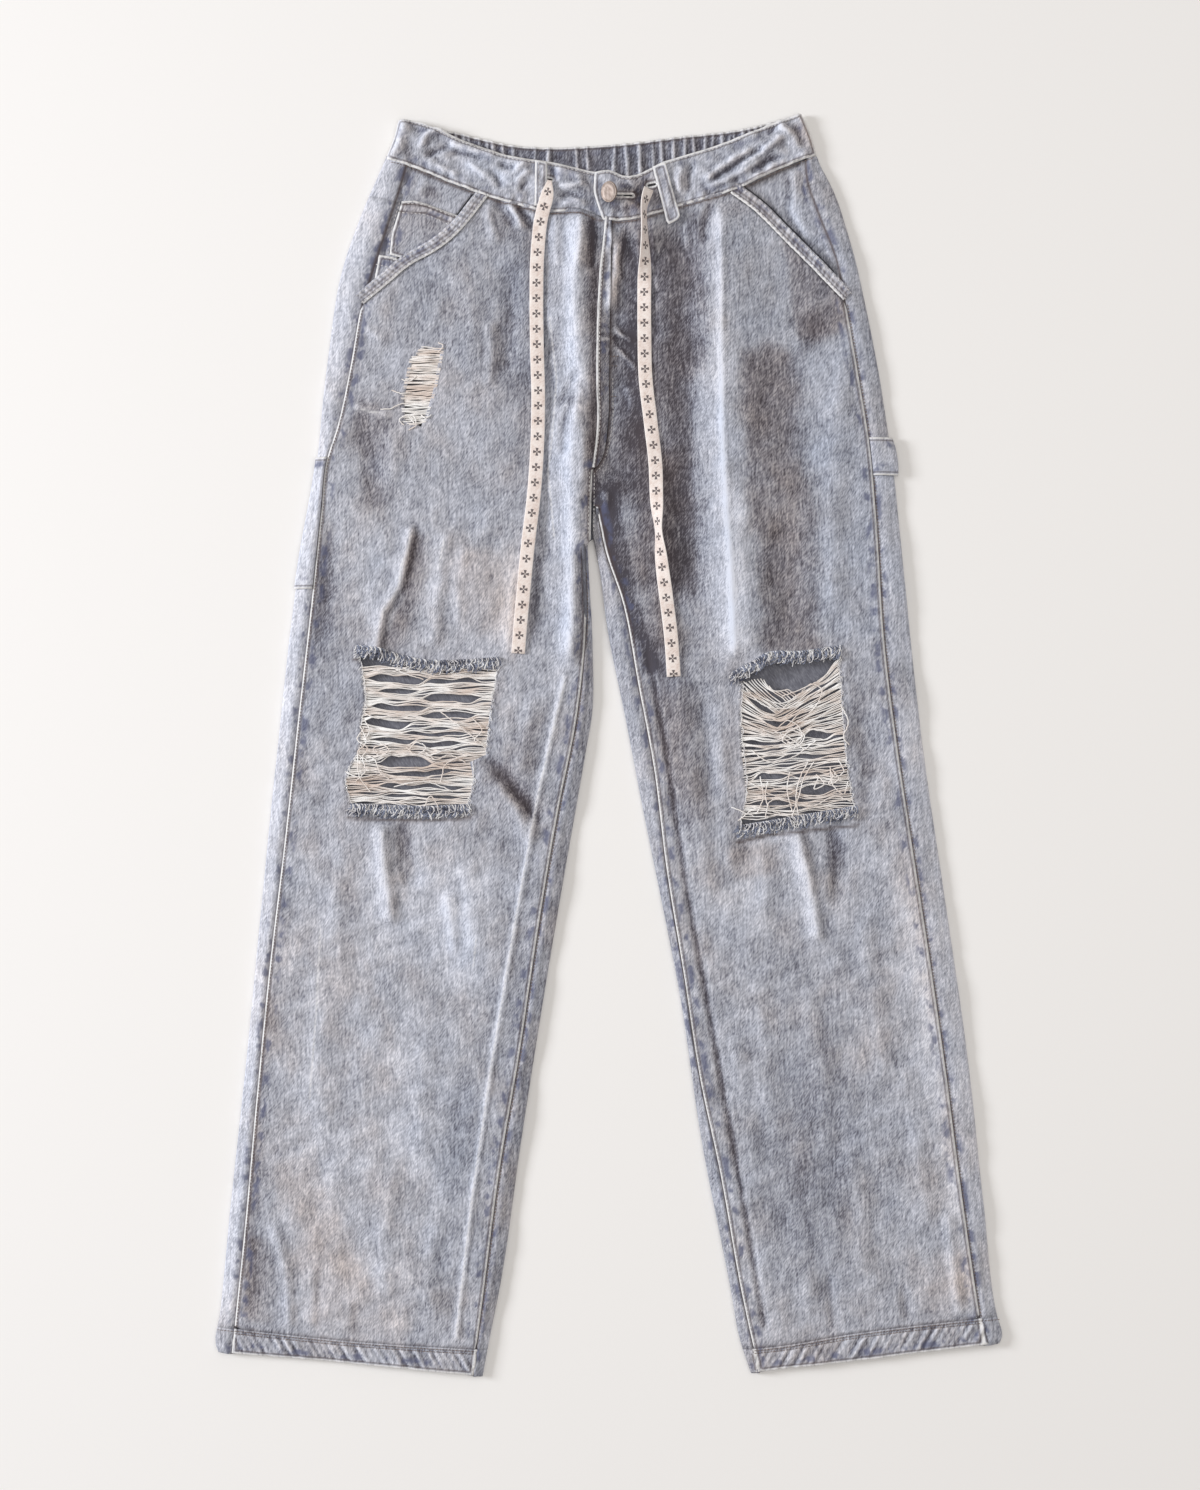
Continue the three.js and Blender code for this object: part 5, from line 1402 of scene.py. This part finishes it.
# Painted light and shade on the front waistband: line, lighter or darker, warmer or bluer, reach left, reach
# right
BAND_SHADES = [
    ([(-170, 512), (-178, 484)], 0.2, -0.1, 5, 8),
    ([(-150, 478), (-120, 488)], -0.2, 0.2, 4, 4),
    ([(-30, 462), (-14, 452), (-8, 440)], -0.35, 0.4, 6, 6),
    ([(-10, 446), (12, 440), (30, 446)], -0.4, 0.5, 5, 5),
    ([(60, 452), (110, 470), (150, 492)], -0.12, -0.3, 8, 8),
    ([(100, 486), (130, 500)], 0.2, -0.2, 6, 6),
    ([(154, 512), (160, 496), (166, 486)], -0.2, 1.2, 4, 6),
    ([(-6, 452), (30, 454), (62, 462)], -0.55, 1.0, 16, 14),
    ([(-150, 476), (-100, 474), (-40, 464)], 0.12, -0.2, 12, 12),
    ([(22, 462), (34, 452), (40, 440)], -0.3, 0.5, 8, 6),
    ([(-176, 504), (-180, 488)], -0.35, 0.1, 2, 2),
    ([(-120, 480), (-90, 468), (-66, 462)], 0.1, -0.6, 8, 8),
]


def band_half(name, outline, top, holes):
    piece = cloth_piece(
        name, outline, top, BAND_DENIM, 1.9, BAND_WALL, holes=holes, shades=BAND_SHADES, base=BAND_SHADE)
    declare_cloth(piece, name)


def waistband_front():
    side = stretch_down(OUTER_LEFT, 513, 481)[::-1]
    waist = stretch_across(WAIST_LEFT, -183.5, 12)[::-1]
    outline = np.vstack([side, FRONT_TOP_LEFT[1:], waist[:-1]])
    exit_left = rounded_slot((-49.5, 463.5), 6.0, 2.2)
    band_half("waistband_front_left", outline, left_band_top, [exit_left])

    side = stretch_down(OUTER_RIGHT, 518.4, 485)
    waist = stretch_across(WAIST_RIGHT, -5, 170.5)[::-1]
    end = smooth_line([(-5, 430), (-9, 441), (-12, 452), (-12, 469)], 3)
    outline = np.vstack([FRONT_TOP_RIGHT[:-1], side, waist[1:], end[1:-1]])
    buttonhole = rounded_slot((13, 450), 14, 1.6)
    exit_right = rounded_slot((35, 459), 7, 2.2, 0.15)
    holes = [buttonhole, exit_right]
    band_half("waistband_front_right", outline, right_band_top, holes)


def waistband_back():
    lower = shifted(BACK_TOP, 0, -WAISTBAND)[::-1]
    outline = np.vstack([BACK_TOP, lower])
    piece = cloth_piece("waistband_back", outline, gathered_top, GATHERED_DENIM, 1.7, 1.6, base=(-0.1, 0.15))
    height = np.array([vertex.co.z for vertex in piece.data.vertices]) / MILLIMETRE
    # Painted light on the gathers' crests and painted shade between them, set by height.
    shade = soft_step(height, 2.6, 4.3) * 1.0 - 0.36 - 0.3 * np.exp(-(((height - 2.9) / 0.35) ** 2))
    piece.data.attributes["shade"].data.foreach_set("value", shade.astype(np.float32))
    declare_cloth(piece, "waistband_back")


# Pockets


def pocket_facing(side, outline, seam, shades, shadows):
    name = f"pocket_facing_{side}"
    piece = cloth_piece(
        name, outline, facing_top, LEG_DENIM, 2.0, worn=[seam], shades=shades, shadows=shadows)
    declare_cloth(piece, name)


def pocket_facings():
    tucked = sideways(MOUTH_LEFT, -12)[::-1]
    seam = stretch_down(SIDE_SEAM_LEFT, 474, 350)
    waist = shifted(stretch_across(WAIST_LEFT, -162, -92), 0, 3)[::-1]
    outline = np.vstack([seam, tucked[1:-1], waist])
    # Painted shade beside the facing's fold and near the mouth; painted shadow under the mouth's edge and the
    # waist seam.
    shades = [([(-142, 462), (-150, 446)], -0.4, 0.5, 4, 10), ([(-108, 446), (-128, 432)], -0.2, 0.2, 8, 8)]
    shadows = [(MOUTH_LEFT, 2.2), (shifted(WAIST_LEFT, 0, -1.2), 1.5)]
    pocket_facing("left", outline, seam, shades, shadows)

    tucked = sideways(MOUTH_RIGHT, 12)
    seam = stretch_down(SIDE_SEAM_RIGHT, 480, 352)[::-1]
    waist = shifted(stretch_across(WAIST_RIGHT, 92, 157), 0, 3)[::-1]
    outline = np.vstack([tucked[1:-1], seam, waist])
    # Painted shadow inside the mouth, painted light and shade on the facing's folds; painted shadow under the
    # mouth's edge and the waist seam.
    shades = [([(104, 450), (130, 428), (160, 400), (190, 370)], -0.9, 0.3, 10, 10),
              ([(140, 462), (160, 430), (178, 400)], 0.1, -0.5, 8, 8),
              ([(156, 455), (154, 430), (168, 412)], 0.3, -0.3, 4, 4),
              ([(146, 470), (148, 440)], -0.3, 0.2, 4, 3)]
    shadows = [(MOUTH_RIGHT, 3.0), (shifted(WAIST_RIGHT, 0, -1.2), 1.5)]
    pocket_facing("right", outline, seam, shades, shadows)


def pocket_mouth(name, mouth, side):
    """The doubled, twice-stitched edge of a slanted pocket, drawn into small gathers."""
    inner = sideways(mouth, side * MOUTH_HEM_WIDTH)[::-1]

    def top(x, y):
        gathers = puckers(mouth, 5.2, 14, 0.42, 0.3, x, y)
        return front_face(x, y) + 1.3 + gathers

    stitched = sideways(mouth, side * MOUTH_HEM_WIDTH * 0.5)
    piece = cloth_piece(
        name, np.vstack([mouth, inner]), top, LEG_DENIM, 1.5, PATCH_WALL, worn=[mouth],
        shadows=[(stitched, 0.9)], shades=[(stitched, 0.3, 0.1, 7, 7)], base=(0.05, 0.15))
    declare_cloth(piece, name)


def coin_pockets():
    top_edge = np.array([(-174, 446), (-150, 444.5), (-116, 431)])

    def top(x, y):
        return facing_top(x, y) + 1.5 + puckers(top_edge, 4.2, 9, 0.4, 0.1, x, y)

    # Painted shade over the pocket, its hem band lighter, and painted shadow along both stitch rows.
    shades = [([(-160, 432), (-130, 422)], -0.15, 0.1, 8, 8), (shifted(top_edge, 0, -5), 0.3, 0.3, 3, 3)]
    rows = [(shifted(top_edge, 0, -2.2), 0.9), (shifted(top_edge, 0, -8.2), 0.9)]
    piece = cloth_piece(
        "coin_pocket", COIN_POCKET, top, LEG_DENIM, 1.6, PATCH_WALL, shades=shades, shadows=rows,
        base=(-0.08, 0.2))
    declare_cloth(piece, "coin_pocket")
    lower_edge = np.array([(-190, 403), (-178, 401), (-162, 393)])

    def lower_top(x, y):
        return facing_top(x, y) + 1.5 + puckers(lower_edge, 4.0, 9, 0.4, 0.1, x, y)

    piece = cloth_piece("coin_pocket_lower", LOWER_COIN_POCKET, lower_top, LEG_DENIM, 1.5, PATCH_WALL)
    declare_cloth(piece, "coin_pocket_lower")


# Loops and the side pocket


def belt_loops():
    for name, outline in (("belt_loop_left", BELT_LOOP_LEFT), ("belt_loop_right", BELT_LOOP_RIGHT)):
        middle = np.mean(outline, axis=0)

        def top(x, y, middle=middle):
            crown = 0.5 * np.exp(-(((x - middle[0]) / 5) ** 2))
            lift = 2.6 if middle[0] > 0 else 1.6
            return np.maximum(band_top(x, y), SEAM_TOP) + lift + crown

        piece = cloth_piece(name, outline, top, BAND_DENIM, 1.5, 1.4, base=(0.1, 0.0))
        declare_cloth(piece, name)


def over_edge(name, edge, seam, high, low, thickness, bulge, side, rows):
    """A strap or patch laid over a turned edge, from the side seam round to the ground."""
    y = np.linspace(high, low, rows)
    x = across_at(edge, y)
    reach = np.abs(across_at(seam, y) - x)
    turns = np.radians(np.linspace(90, -20, 8))
    flat = np.linspace(1, 0, 7)
    swell = bulge * np.sin(np.linspace(0.35, math.pi * 0.8, rows)) + thickness
    over = TURN + (reach - TURN - 0.5)[:, None] * flat
    round_edge = TURN - (TURN + swell)[:, None] * np.cos(turns[1:])
    away = np.hstack([over, round_edge])
    across = x[:, None] + side * away
    down = np.tile(y[:, None], (1, across.shape[1]))
    crown = leg_top(x + side * TURN, y) + thickness + 0.4
    height = np.hstack([
        leg_top(across[:, :7], down[:, :7]) + thickness + 0.4 + 1.2 * np.sin(np.pi * flat),
        (crown / 2)[:, None] + (crown / 2)[:, None] * np.sin(turns[1:])])
    grid = np.stack([across, down, height], axis=2)
    grid[:, 0, 2] = crown - 0.2
    columns = grid.shape[1]
    faces = np.array(strip_faces(rows, columns, side < 0), dtype=object)
    points = grid.reshape(-1, 3)
    piece = make_piece(name, points, faces, LEG_DENIM, SLATE_INSIDE)
    rim = np.minimum(np.abs(points[:, 1] - high), np.abs(points[:, 1] - low))
    finish_attributes(piece, points[:, 0], points[:, 1], rim, None, EDGE_SHADES, base=(0.12, -0.2))
    give_wall(piece, thickness)
    declare_cloth(piece, name)


# Button


def shank_button():
    """A flat pressed cap with a rolled rim on a short shank, tilted as it is fastened."""
    profile = [
        (0, 0.75), (4.5, 0.72), (6.6, 0.55), (7.1, 0.75), (7.8, 1.0), (8.3, 0.85), (8.5, 0.3),
        (8.4, -0.5), (7.9, -0.95), (6.5, -1.0), (2.2, -1.0), (1.6, -1.6), (1.5, -8.0), (0, -8.0)]
    count = 56
    turns = np.arange(count) * 2 * math.pi / count
    points = [(0, 0, profile[0][1])]
    for radius, z in profile[1:-1]:
        points += [(radius * math.cos(turn), radius * math.sin(turn), z) for turn in turns]
    points.append((0, 0, profile[-1][1]))
    faces = []
    for index in range(count):
        faces.append((0, 1 + index, 1 + (index + 1) % count))
    for ring in range(len(profile) - 3):
        for index in range(count):
            a, b = 1 + ring * count + index, 1 + ring * count + (index + 1) % count
            faces.append((a, a + count, b + count, b))
    last = 1 + (len(profile) - 3) * count
    for index in range(count):
        faces.append((last + index, len(points) - 1, last + (index + 1) % count))
    tilt = Matrix.Rotation(math.radians(12), 3, "Z") @ Matrix.Rotation(math.radians(-44), 3, "Y")
    placed = np.array(points) @ np.array(tilt).T + [*BUTTON_CENTRE, 16.2]
    piece = make_piece("button", placed, np.array(faces, dtype=object), COPPER)
    declare(piece, ["button"])


# Threads left across the rips


def crossing_threads(rip, count, gaps, sag, seed):
    """Weft threads from one side of a rip to the other, drawn together between the open gaps."""
    rng = np.random.default_rng(seed)
    loop = np.array(rip, float)
    low, high = loop[:, 1].min() + 1.5, loop[:, 1].max() - 1.5
    ring = np.vstack([loop, loop[:1]])
    lines = []
    for index in range(count):
        level = high - (high - low) * (index + rng.uniform(-0.4, 0.4)) / (count - 1)
        crossings = []
        for (x0, y0), (x1, y1) in zip(ring[:-1], ring[1:]):
            if (y0 > level) != (y1 > level):
                crossings.append(x0 + (level - y0) * (x1 - x0) / (y1 - y0))
        if len(crossings) < 2:
            continue
        left, right = min(crossings) - 2.0, max(crossings) + 2.0
        if right - left < 50:
            continue
        share = np.linspace(0, 1, 34)
        x = left + (right - left) * share
        bundle = 1.35 * np.sin(x / 10.5 + level * 0.5 + 0.9 * math.sin(level / 7))
        bundle += 0.8 * np.sin(x / 5.3 - level * 0.81 + 2)
        own = rng.normal(0, 0.4) * np.sin(2 * math.pi * share * rng.uniform(1, 3) + rng.uniform(0, 6))
        fine = rng.normal(0, 0.2) * np.sin(2 * math.pi * share * rng.uniform(5, 10) + rng.uniform(0, 6))
        hold = np.sin(math.pi * share) ** 0.6
        y = level + (rng.normal(0, 1.6) * (share - 0.5) + bundle + own + fine) * hold + sag(level, share)
        for (x0, y0), (x1, y1), half in gaps:
            middle = y0 + (y1 - y0) * (x - x0) / (x1 - x0) + 0.7 * np.sin(x / 5 + y0)
            window = soft_step(x, x0 - 4, x0 + 9) * soft_step(x, x1 + 4, x1 - 9)
            if window.max() > 0:
                side = 1 if ((y - middle) * window).sum() >= 0 else -1
                away = side * (y - middle)
                away = away * (1 - window) + np.maximum(away, 0) * window
                opening, reach = half * window, 3 * half + 2
                away = np.where(away < reach, opening + away * (reach - opening) / reach, away)
                y = middle + side * away
        swell = np.sin(2 * math.pi * share * rng.uniform(1, 3) + rng.uniform(0, 6))
        lift = rng.uniform(-1.2, 0.9) + 0.5 * swell
        z = front_face(x, y) - BURIED_YARN + lift * hold
        lines.append(np.column_stack([x, y, np.maximum(z, 2.4)]))
    return lines


def loose_thread(points, rise=1.5, seed=1):
    """A single loose end lying on the others."""
    rng = np.random.default_rng(seed)
    line = smooth_line(points, 1.5)
    line = line + rng.normal(0, 0.18, line.shape)
    ends = np.sin(math.pi * np.linspace(0, 1, len(line)))
    return np.column_stack([line, front_face(line[:, 0], line[:, 1]) + 0.3 + rise * ends])


GAPS_LEFT = [
    ((-196, 57), (-150, 50), 2.6), ((-150, 50), (-108, 55), 1.3), ((-188, 45), (-158, 43), 1.8),
    ((-152, 41), (-106, 36), 2.6), ((-195, 33), (-150, 28), 2.2), ((-150, 27), (-110, 23), 2.2),
    ((-200, 21), (-164, 14), 3.0), ((-170, 9), (-116, 9), 1.6), ((-195, 6), (-160, 1), 1.8),
    ((-160, 2), (-124, -1), 1.6), ((-186, -12), (-146, -16), 4.4), ((-184, -23), (-128, -23), 1.4),
    ((-190, -32), (-118, -36), 1.4), ((-186, -41), (-122, -43), 1.0),
]
GAPS_RIGHT = [
    ((118, 62), (182, 66), 5.0), ((128, 46), (166, 50), 2.2), ((116, 34), (136, 26), 2.4),
    ((128, 19), (150, 16), 1.8), ((162, 14), (182, 4), 2.6), ((112, 4), (134, 0), 1.6),
    ((140, -10), (178, -8), 1.8), ((120, -22), (146, -28), 1.8), ((150, -27), (176, -22), 1.6),
    ((154, -38), (182, -36), 4.0), ((118, -46), (150, -50), 1.6),
]
LOOSE_LEFT = [
    [(-138, 27), (-128, 20), (-116, 10), (-102, 0)], [(-200, 20), (-196, 12), (-200, 4)],
    [(-204, 16), (-199, 2), (-206, -6), (-196, -14)], [(-178, 64), (-166, 58), (-152, 54)],
    [(-196, 62), (-178, 60), (-160, 66)], [(-112, 22), (-104, 12), (-110, 4), (-101, -2)],
    [(-188, 2), (-180, -4), (-188, -9), (-193, -3), (-186, 0)], [(-206, -6), (-204, -26), (-196, -38)],
    [(-176, -34), (-150, -30), (-128, -38)], [(-152, -52), (-146, -42), (-138, -54)],
    [(-168, -4), (-150, -9), (-132, -4), (-112, -8)], [(-216, -22), (-206, -26), (-190, -24)],
    [(-201, 14), (-206, 4), (-198, -2), (-204, -12)], [(-199, -8), (-192, -12), (-188, -22), (-180, -28)],
    [(-138, -30), (-134, -16), (-122, -10), (-108, -8)], [(-150, -6), (-142, -12), (-132, -8), (-118, -14)],
    [(-166, -2), (-158, -8), (-150, -2), (-158, 2), (-164, -4)], [(-208, -30), (-200, -22), (-202, -10)],
    [(-180, 70), (-168, 63), (-156, 60), (-140, 64)], [(-200, 26), (-190, 22), (-176, 25), (-160, 22)],
]
LOOSE_RIGHT = [
    [(110, 52), (124, 40), (140, 34), (160, 44)], [(190, 72), (176, 56), (158, 46), (142, 40)],
    [(112, 46), (128, 32), (146, 30), (170, 44)], [(190, 33), (196, 18), (192, 6), (197, 0)],
    [(140, 8), (150, 2), (158, 8), (150, 12), (142, 4), (152, -2)], [(134, 12), (148, 6), (160, -4)],
    [(170, -24), (176, -32), (168, -36), (172, -26)], [(183, -20), (188, -28), (180, -32), (186, -22)],
    [(100, -51), (108, -54), (118, -58)], [(114, -30), (140, -42), (160, -34)],
    [(112, 20), (136, 10), (158, 16), (184, 30)], [(106, -62), (120, -52), (140, -56)],
    [(150, -48), (166, -50), (186, -42), (198, -46)], [(128, -60), (132, -46), (140, -44)],
    [(130, -30), (128, -42), (132, -54)], [(148, -22), (146, -36), (150, -54)],
    [(124, -26), (126, -44), (121, -56)],
    [(168, -14), (160, -26), (156, -40), (150, -58)], [(163, -14), (156, -28), (153, -44), (156, -60)],
    [(138, 14), (146, 20), (154, 16), (158, 6), (152, -2)],
    [(142, 10), (150, 14), (160, 8), (156, 0), (146, 2)],
    [(158, 44), (166, 50), (174, 46), (172, 36), (164, 26)], [(188, -12), (192, -22), (184, -26), (181, -18)],
    [(181, -20), (184, -34), (192, -40), (196, -30)], [(116, -4), (132, -14), (150, -10), (170, 4)],
]
LOOSE_THIGH = [
    [(-187, 275), (-180, 275), (-172, 279), (-164, 280)], [(-178, 291), (-171, 288), (-163, 289)],
    [(-154, 271), (-150, 268), (-146, 271)], [(-168, 262), (-172, 266), (-166, 270), (-160, 264)],
    [(-164, 258), (-158, 262), (-160, 270)], [(-140, 322), (-136, 327), (-140, 330)],
    [(-170, 300), (-164, 298), (-158, 302)],
]


def sag_left(level, share):
    return np.zeros(np.shape(share))


def sag_right(level, share):
    """The upper threads hang in a V, the lower ones lie nearly straight."""
    depth = 27 * soft_step(level, -15, 66)
    lean = np.clip(1 - np.abs(share - 0.36) / np.where(share < 0.36, 0.36, 0.64), 0, 1)
    return 11 * (share - 0.5) * soft_step(level, -55, -20) - depth * lean**0.9


def thigh_threads():
    """Short threads across the small rip, packed close and slightly fanned."""
    rng = np.random.default_rng(41)
    lines = []
    for share in np.linspace(0, 1, 92):
        level = 325 - 62 * share + rng.uniform(-0.6, 0.6)
        left = np.interp(level, [261, 266, 285, 316, 326], [-157, -168, -169, -162, -152]) - 1.5
        right = np.interp(level, [261, 278, 295, 322], [-153, -147, -142, -137]) + 1.5
        step = np.linspace(0, 1, 9)
        x = left + (right - left) * step
        fan = rng.normal(0, 0.9) + 2.4 * (share - 0.4)
        y = level + fan * (step - 0.5) + 0.5 * np.sin(5 * step + rng.uniform(0, 6))
        z = front_face(x, y) - BURIED_YARN + rng.uniform(-0.5, 0.6)
        lines.append(np.column_stack([x, y, z]))
    return lines


def rip_threads(threads):
    left = crossing_threads(KNEE_RIP_LEFT, 118, GAPS_LEFT, sag_left, 21)
    left += [loose_thread(line, 1.6, seed) for seed, line in enumerate(LOOSE_LEFT)]
    right = crossing_threads(KNEE_RIP_RIGHT, 104, GAPS_RIGHT, sag_right, 22)
    right += [loose_thread(line, 1.8, seed + 30) for seed, line in enumerate(LOOSE_RIGHT)]
    thigh = thigh_threads() + [loose_thread(line, 1.0, seed + 60) for seed, line in enumerate(LOOSE_THIGH)]
    for name, lines in (("knee_threads_left", left), ("knee_threads_right", right), ("thigh_threads", thigh)):
        piece = along_lines(name, threads, lines, "loose_thread", CREAM_THREAD, Radius=0.5, Sides=5)
        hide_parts(name)


def rip_fringes(fringes):
    """Frayed ends of the blue and white yarns along the cut edges."""
    rows = {
        "left": [[(-207, 82), (-190, 80), (-170, 74), (-150, 70), (-120, 70), (-92, 72)],
                 [(-212, -48), (-180, -49), (-150, -50), (-114, -48)]],
        "right": [[(101, 60), (116, 68), (130, 76), (155, 77), (190, 82)],
                  [(105, -66), (130, -62), (165, -56), (201, -50)]],
    }
    sides = {
        "left": [[(-204, 72), (-200, 37), (-203, 18)], [(-204, 0), (-216, -30), (-212, -48)],
                 [(-92, 62), (-98, 25), (-101, -6)], [(-112, -14), (-111, -29), (-116, -47)]],
        "right": [[(109, 54), (108, 20), (112, -40), (107, -66)],
                  [(188, 72), (191, 30), (197, -30), (201, -52)]],
    }
    for side, lines in rows.items():
        for colour, material, seed, radius in (("blue", BLUE_FRAY, 1, 0.42), ("white", PALE_FRAY, 2, 0.36)):
            placed = []
            for line in lines:
                path = smooth_line(line, 3)
                height = front_face(path[:, 0], path[:, 1]) + 0.6
                placed.append(np.column_stack([path, height]))
                placed.append(np.column_stack([path - [0.4, 3.2], height + 0.4]))
            along_lines(f"fray_{colour}_{side}", fringes, placed, "fray", material, Spacing=0.95,
                        Length=7.5, Radius=radius, Curl=5.5, Seed=seed)
        placed = []
        for line in sides[side]:
            path = smooth_line(line, 3)
            height = front_face(path[:, 0], path[:, 1]) + 0.2
            placed.append(np.column_stack([path, height]))
        along_lines(f"fray_sides_{side}", fringes, placed, "fray", PALE_FRAY, Spacing=1.6, Length=3.2,
                    Radius=0.3, Curl=4.5, Seed=5)


# Stitching


def on_top(line, height, lift=0.15):
    """A line in plan laid on a surface."""
    path = smooth_line(line, 3.0)
    return np.column_stack([path, height(path[:, 0], path[:, 1]) + lift])


def edge_face(x, y):
    return leg_top(x, y) + 1.0


def hem_face(x, y):
    return front_face(x, y) + 0.5


def mouth_face(x, y):
    return front_face(x, y) + 1.5


def fly_face(x, y):
    return front_face(x, y) + 1.6


def coin_face(x, y):
    return facing_top(x, y) + 1.6


def band_face(x, y):
    return np.where(x < -12, left_band_top(x, y), right_band_top(x, y))


def stitch_rows(stitches):
    waist_left = stretch_across(WAIST_LEFT, -178, -12)
    waist_right = stretch_across(WAIST_RIGHT, -2, 166)
    top_left = stretch_across(FRONT_TOP_LEFT, -168, -14)
    top_right = stretch_across(FRONT_TOP_RIGHT, -8, 154)
    pale = [
        on_top(sideways(stretch_down(INSEAM_LEFT, 140, -494), -1.0), front_face),
        on_top(sideways(stretch_down(INSEAM_RIGHT, 150, -492), 1.0), front_face),
        on_top(shifted(waist_left, 0, 1.6), band_face), on_top(shifted(waist_right, 0, 1.6), band_face),
        on_top(shifted(top_left, 0, -2.2), band_face), on_top(shifted(top_right, 0, -2.2), band_face),
        on_top(sideways(MOUTH_LEFT, -1.8), mouth_face), on_top(sideways(MOUTH_LEFT, -8.4), mouth_face),
        on_top(sideways(MOUTH_RIGHT, 1.8), mouth_face), on_top(sideways(MOUTH_RIGHT, 8.4), mouth_face),
        on_top([(-168, 444.5), (-150, 442.5), (-134, 436), (-118, 430)], coin_face),
        on_top([(-172, 437), (-150, 434.5), (-136, 429), (-124, 422)], coin_face),
        on_top([(-187, 400), (-178, 398.5), (-166, 393.5)], coin_face),
        on_top([(-190, 394), (-180, 391.5), (-172, 387)], coin_face),
        on_top([(-172, 444), (-178, 424), (-181, 404)], coin_face),
        on_top([(-2, 426), (-6, 380), (-8, 300), (-7.5, 262), (-12, 228)], fly_face),
        on_top([(3, 300), (2.5, 262), (-1, 243), (-6, 229), (-12, 222)], front_face),
        on_top([(-57, 444), (-57.5, 476)], lambda x, y: band_top(x, y) + 2.4),
        on_top([(-16, 222), (-17, 174)], front_face), on_top([(-12, 220), (-12.5, 176)], front_face),
    ]
    along_lines("topstitch_pale", stitches, pale, "topstitch", PALE_STITCH, Spacing=3.3,
                Size=(2.7, 0.62, 0.5))
    dark = []
    for seam_line, start, end in ((HEM_SEAM_LEFT, -306, -112), (HEM_SEAM_RIGHT, 120, 303)):
        row = stretch_across(seam_line, start, end)
        dark += [on_top(shifted(row, 0, -1.2), hem_face), on_top(shifted(row, 0, -3.4), hem_face)]
    dark += [
        on_top(shifted(stretch_across(HEM_SEAM_LEFT, -320, -309), 0, -1.5), edge_face, 0.6),
        on_top(shifted(stretch_across(HEM_SEAM_RIGHT, 306, 319), 0, -1.5), edge_face, 0.6),
        on_top(shifted(waist_left, 0, -1.4), front_face, 0.5),
        on_top(shifted(waist_right, 0, -1.4), front_face, 0.5),
        on_top(sideways(stretch_down(INSEAM_LEFT, 140, -494), 1.4), edge_face, -0.6),
        on_top(sideways(stretch_down(SIDE_SEAM_RIGHT, 360, -468), 1.2), edge_face, -0.4),
        on_top(sideways(stretch_down(SIDE_SEAM_LEFT, 356, -476), 1.4), front_face, 0.1),
        on_top([(-6, 318), (7, 319)], front_face, 1.0), on_top([(-6, 311), (6, 311)], front_face, 1.0),
        on_top([(-6, 286), (5, 286)], front_face, 1.0),
    ]
    along_lines("topstitch_brown", stitches, dark, "topstitch", DARK_STITCH, Spacing=2.6,
                Size=(2.3, 0.7, 0.5))


def buttonhole_edge(threads):
    """Close whipped thread round the buttonhole."""
    slot = rounded_slot((13, 450), 15.5, 3.0)
    ring = np.vstack([slot, slot[:1]])
    line = np.column_stack([ring, right_band_top(ring[:, 0], ring[:, 1]) + 0.3])
    along_lines("buttonhole_thread", threads, [line], "topstitch", PALE_STITCH, Radius=0.6, Sides=6)


# Setting

FLOOR_REACH = 6  # metres from the middle to each side
FLOOR_LEVEL = -0.0006  # just under the cloth
# Lights: name, place, size, power in watts, colour
LIGHTS = [
    ("key", (-3.7, 0.6, 1.75), 1.1, 132, (0.93, 0.955, 1.0)),
    ("fill", (0.5, 0.2, 2.8), 2.6, 31, (1.0, 0.985, 0.96)),
]


def set_stage():
    """A plain pale floor, a broad soft light from the left and an even fill."""
    mesh = bpy.data.meshes.new("floor")
    signs = ((-1, -1), (1, -1), (1, 1), (-1, 1))
    corners = [(x * FLOOR_REACH, y * FLOOR_REACH, FLOOR_LEVEL) for x, y in signs]
    mesh.from_pydata(corners, [], [(0, 1, 2, 3)])
    mesh.materials.append(plain_surface("pale_floor", (0.90, 0.885, 0.87)))
    new_object("floor", mesh)
    for name, place, size, power, colour in LIGHTS:
        light = new_object(name, bpy.data.lights.new(name, "AREA"))
        light.data.shape = "SQUARE"
        light.data.size = size
        light.data.energy = power
        light.data.color = colour
        light.location = place
        light.rotation_euler = (-Vector(place)).to_track_quat("-Z", "Y").to_euler()
    world = bpy.data.worlds.new("studio")
    world.use_nodes = True
    background = world.node_tree.nodes["Background"]
    background.inputs["Color"].default_value = (1.0, 0.955, 0.915, 1)
    background.inputs["Strength"].default_value = 0.38
    bpy.context.scene.world = world
    bpy.context.scene.view_settings.view_transform = "Standard"


set_camera()
drawstring("drawstring_left", TAPE_LEFT, [(464, 9, 0.3)])
drawstring(
    "drawstring_right", TAPE_RIGHT, [(460, 8, 0.75), (176, 12, 0.75)])
back_side(-1)
back_side(1)
waistband_back()
pocket_facings()
coin_pockets()
front_left()
front_right()
fly_placket()
front_hem(-1)
front_hem(1)
waistband_front()
pocket_mouth("pocket_mouth_left", MOUTH_LEFT, -1)
pocket_mouth("pocket_mouth_right", MOUTH_RIGHT, 1)
belt_loops()
over_edge("tool_pocket", OUTER_LEFT, SIDE_SEAM_LEFT, 236, 128, 1.0, 0.8, 1, 40)
over_edge("hammer_loop", OUTER_RIGHT, SIDE_SEAM_RIGHT, 252, 221, 1.6, 3.2, -1, 16)
shank_button()
thread, stitch, fringe = thread_tree(), stitch_tree(), fringe_tree()
rip_threads(thread)
rip_fringes(fringe)
stitch_rows(stitch)
buttonhole_edge(thread)
set_stage()
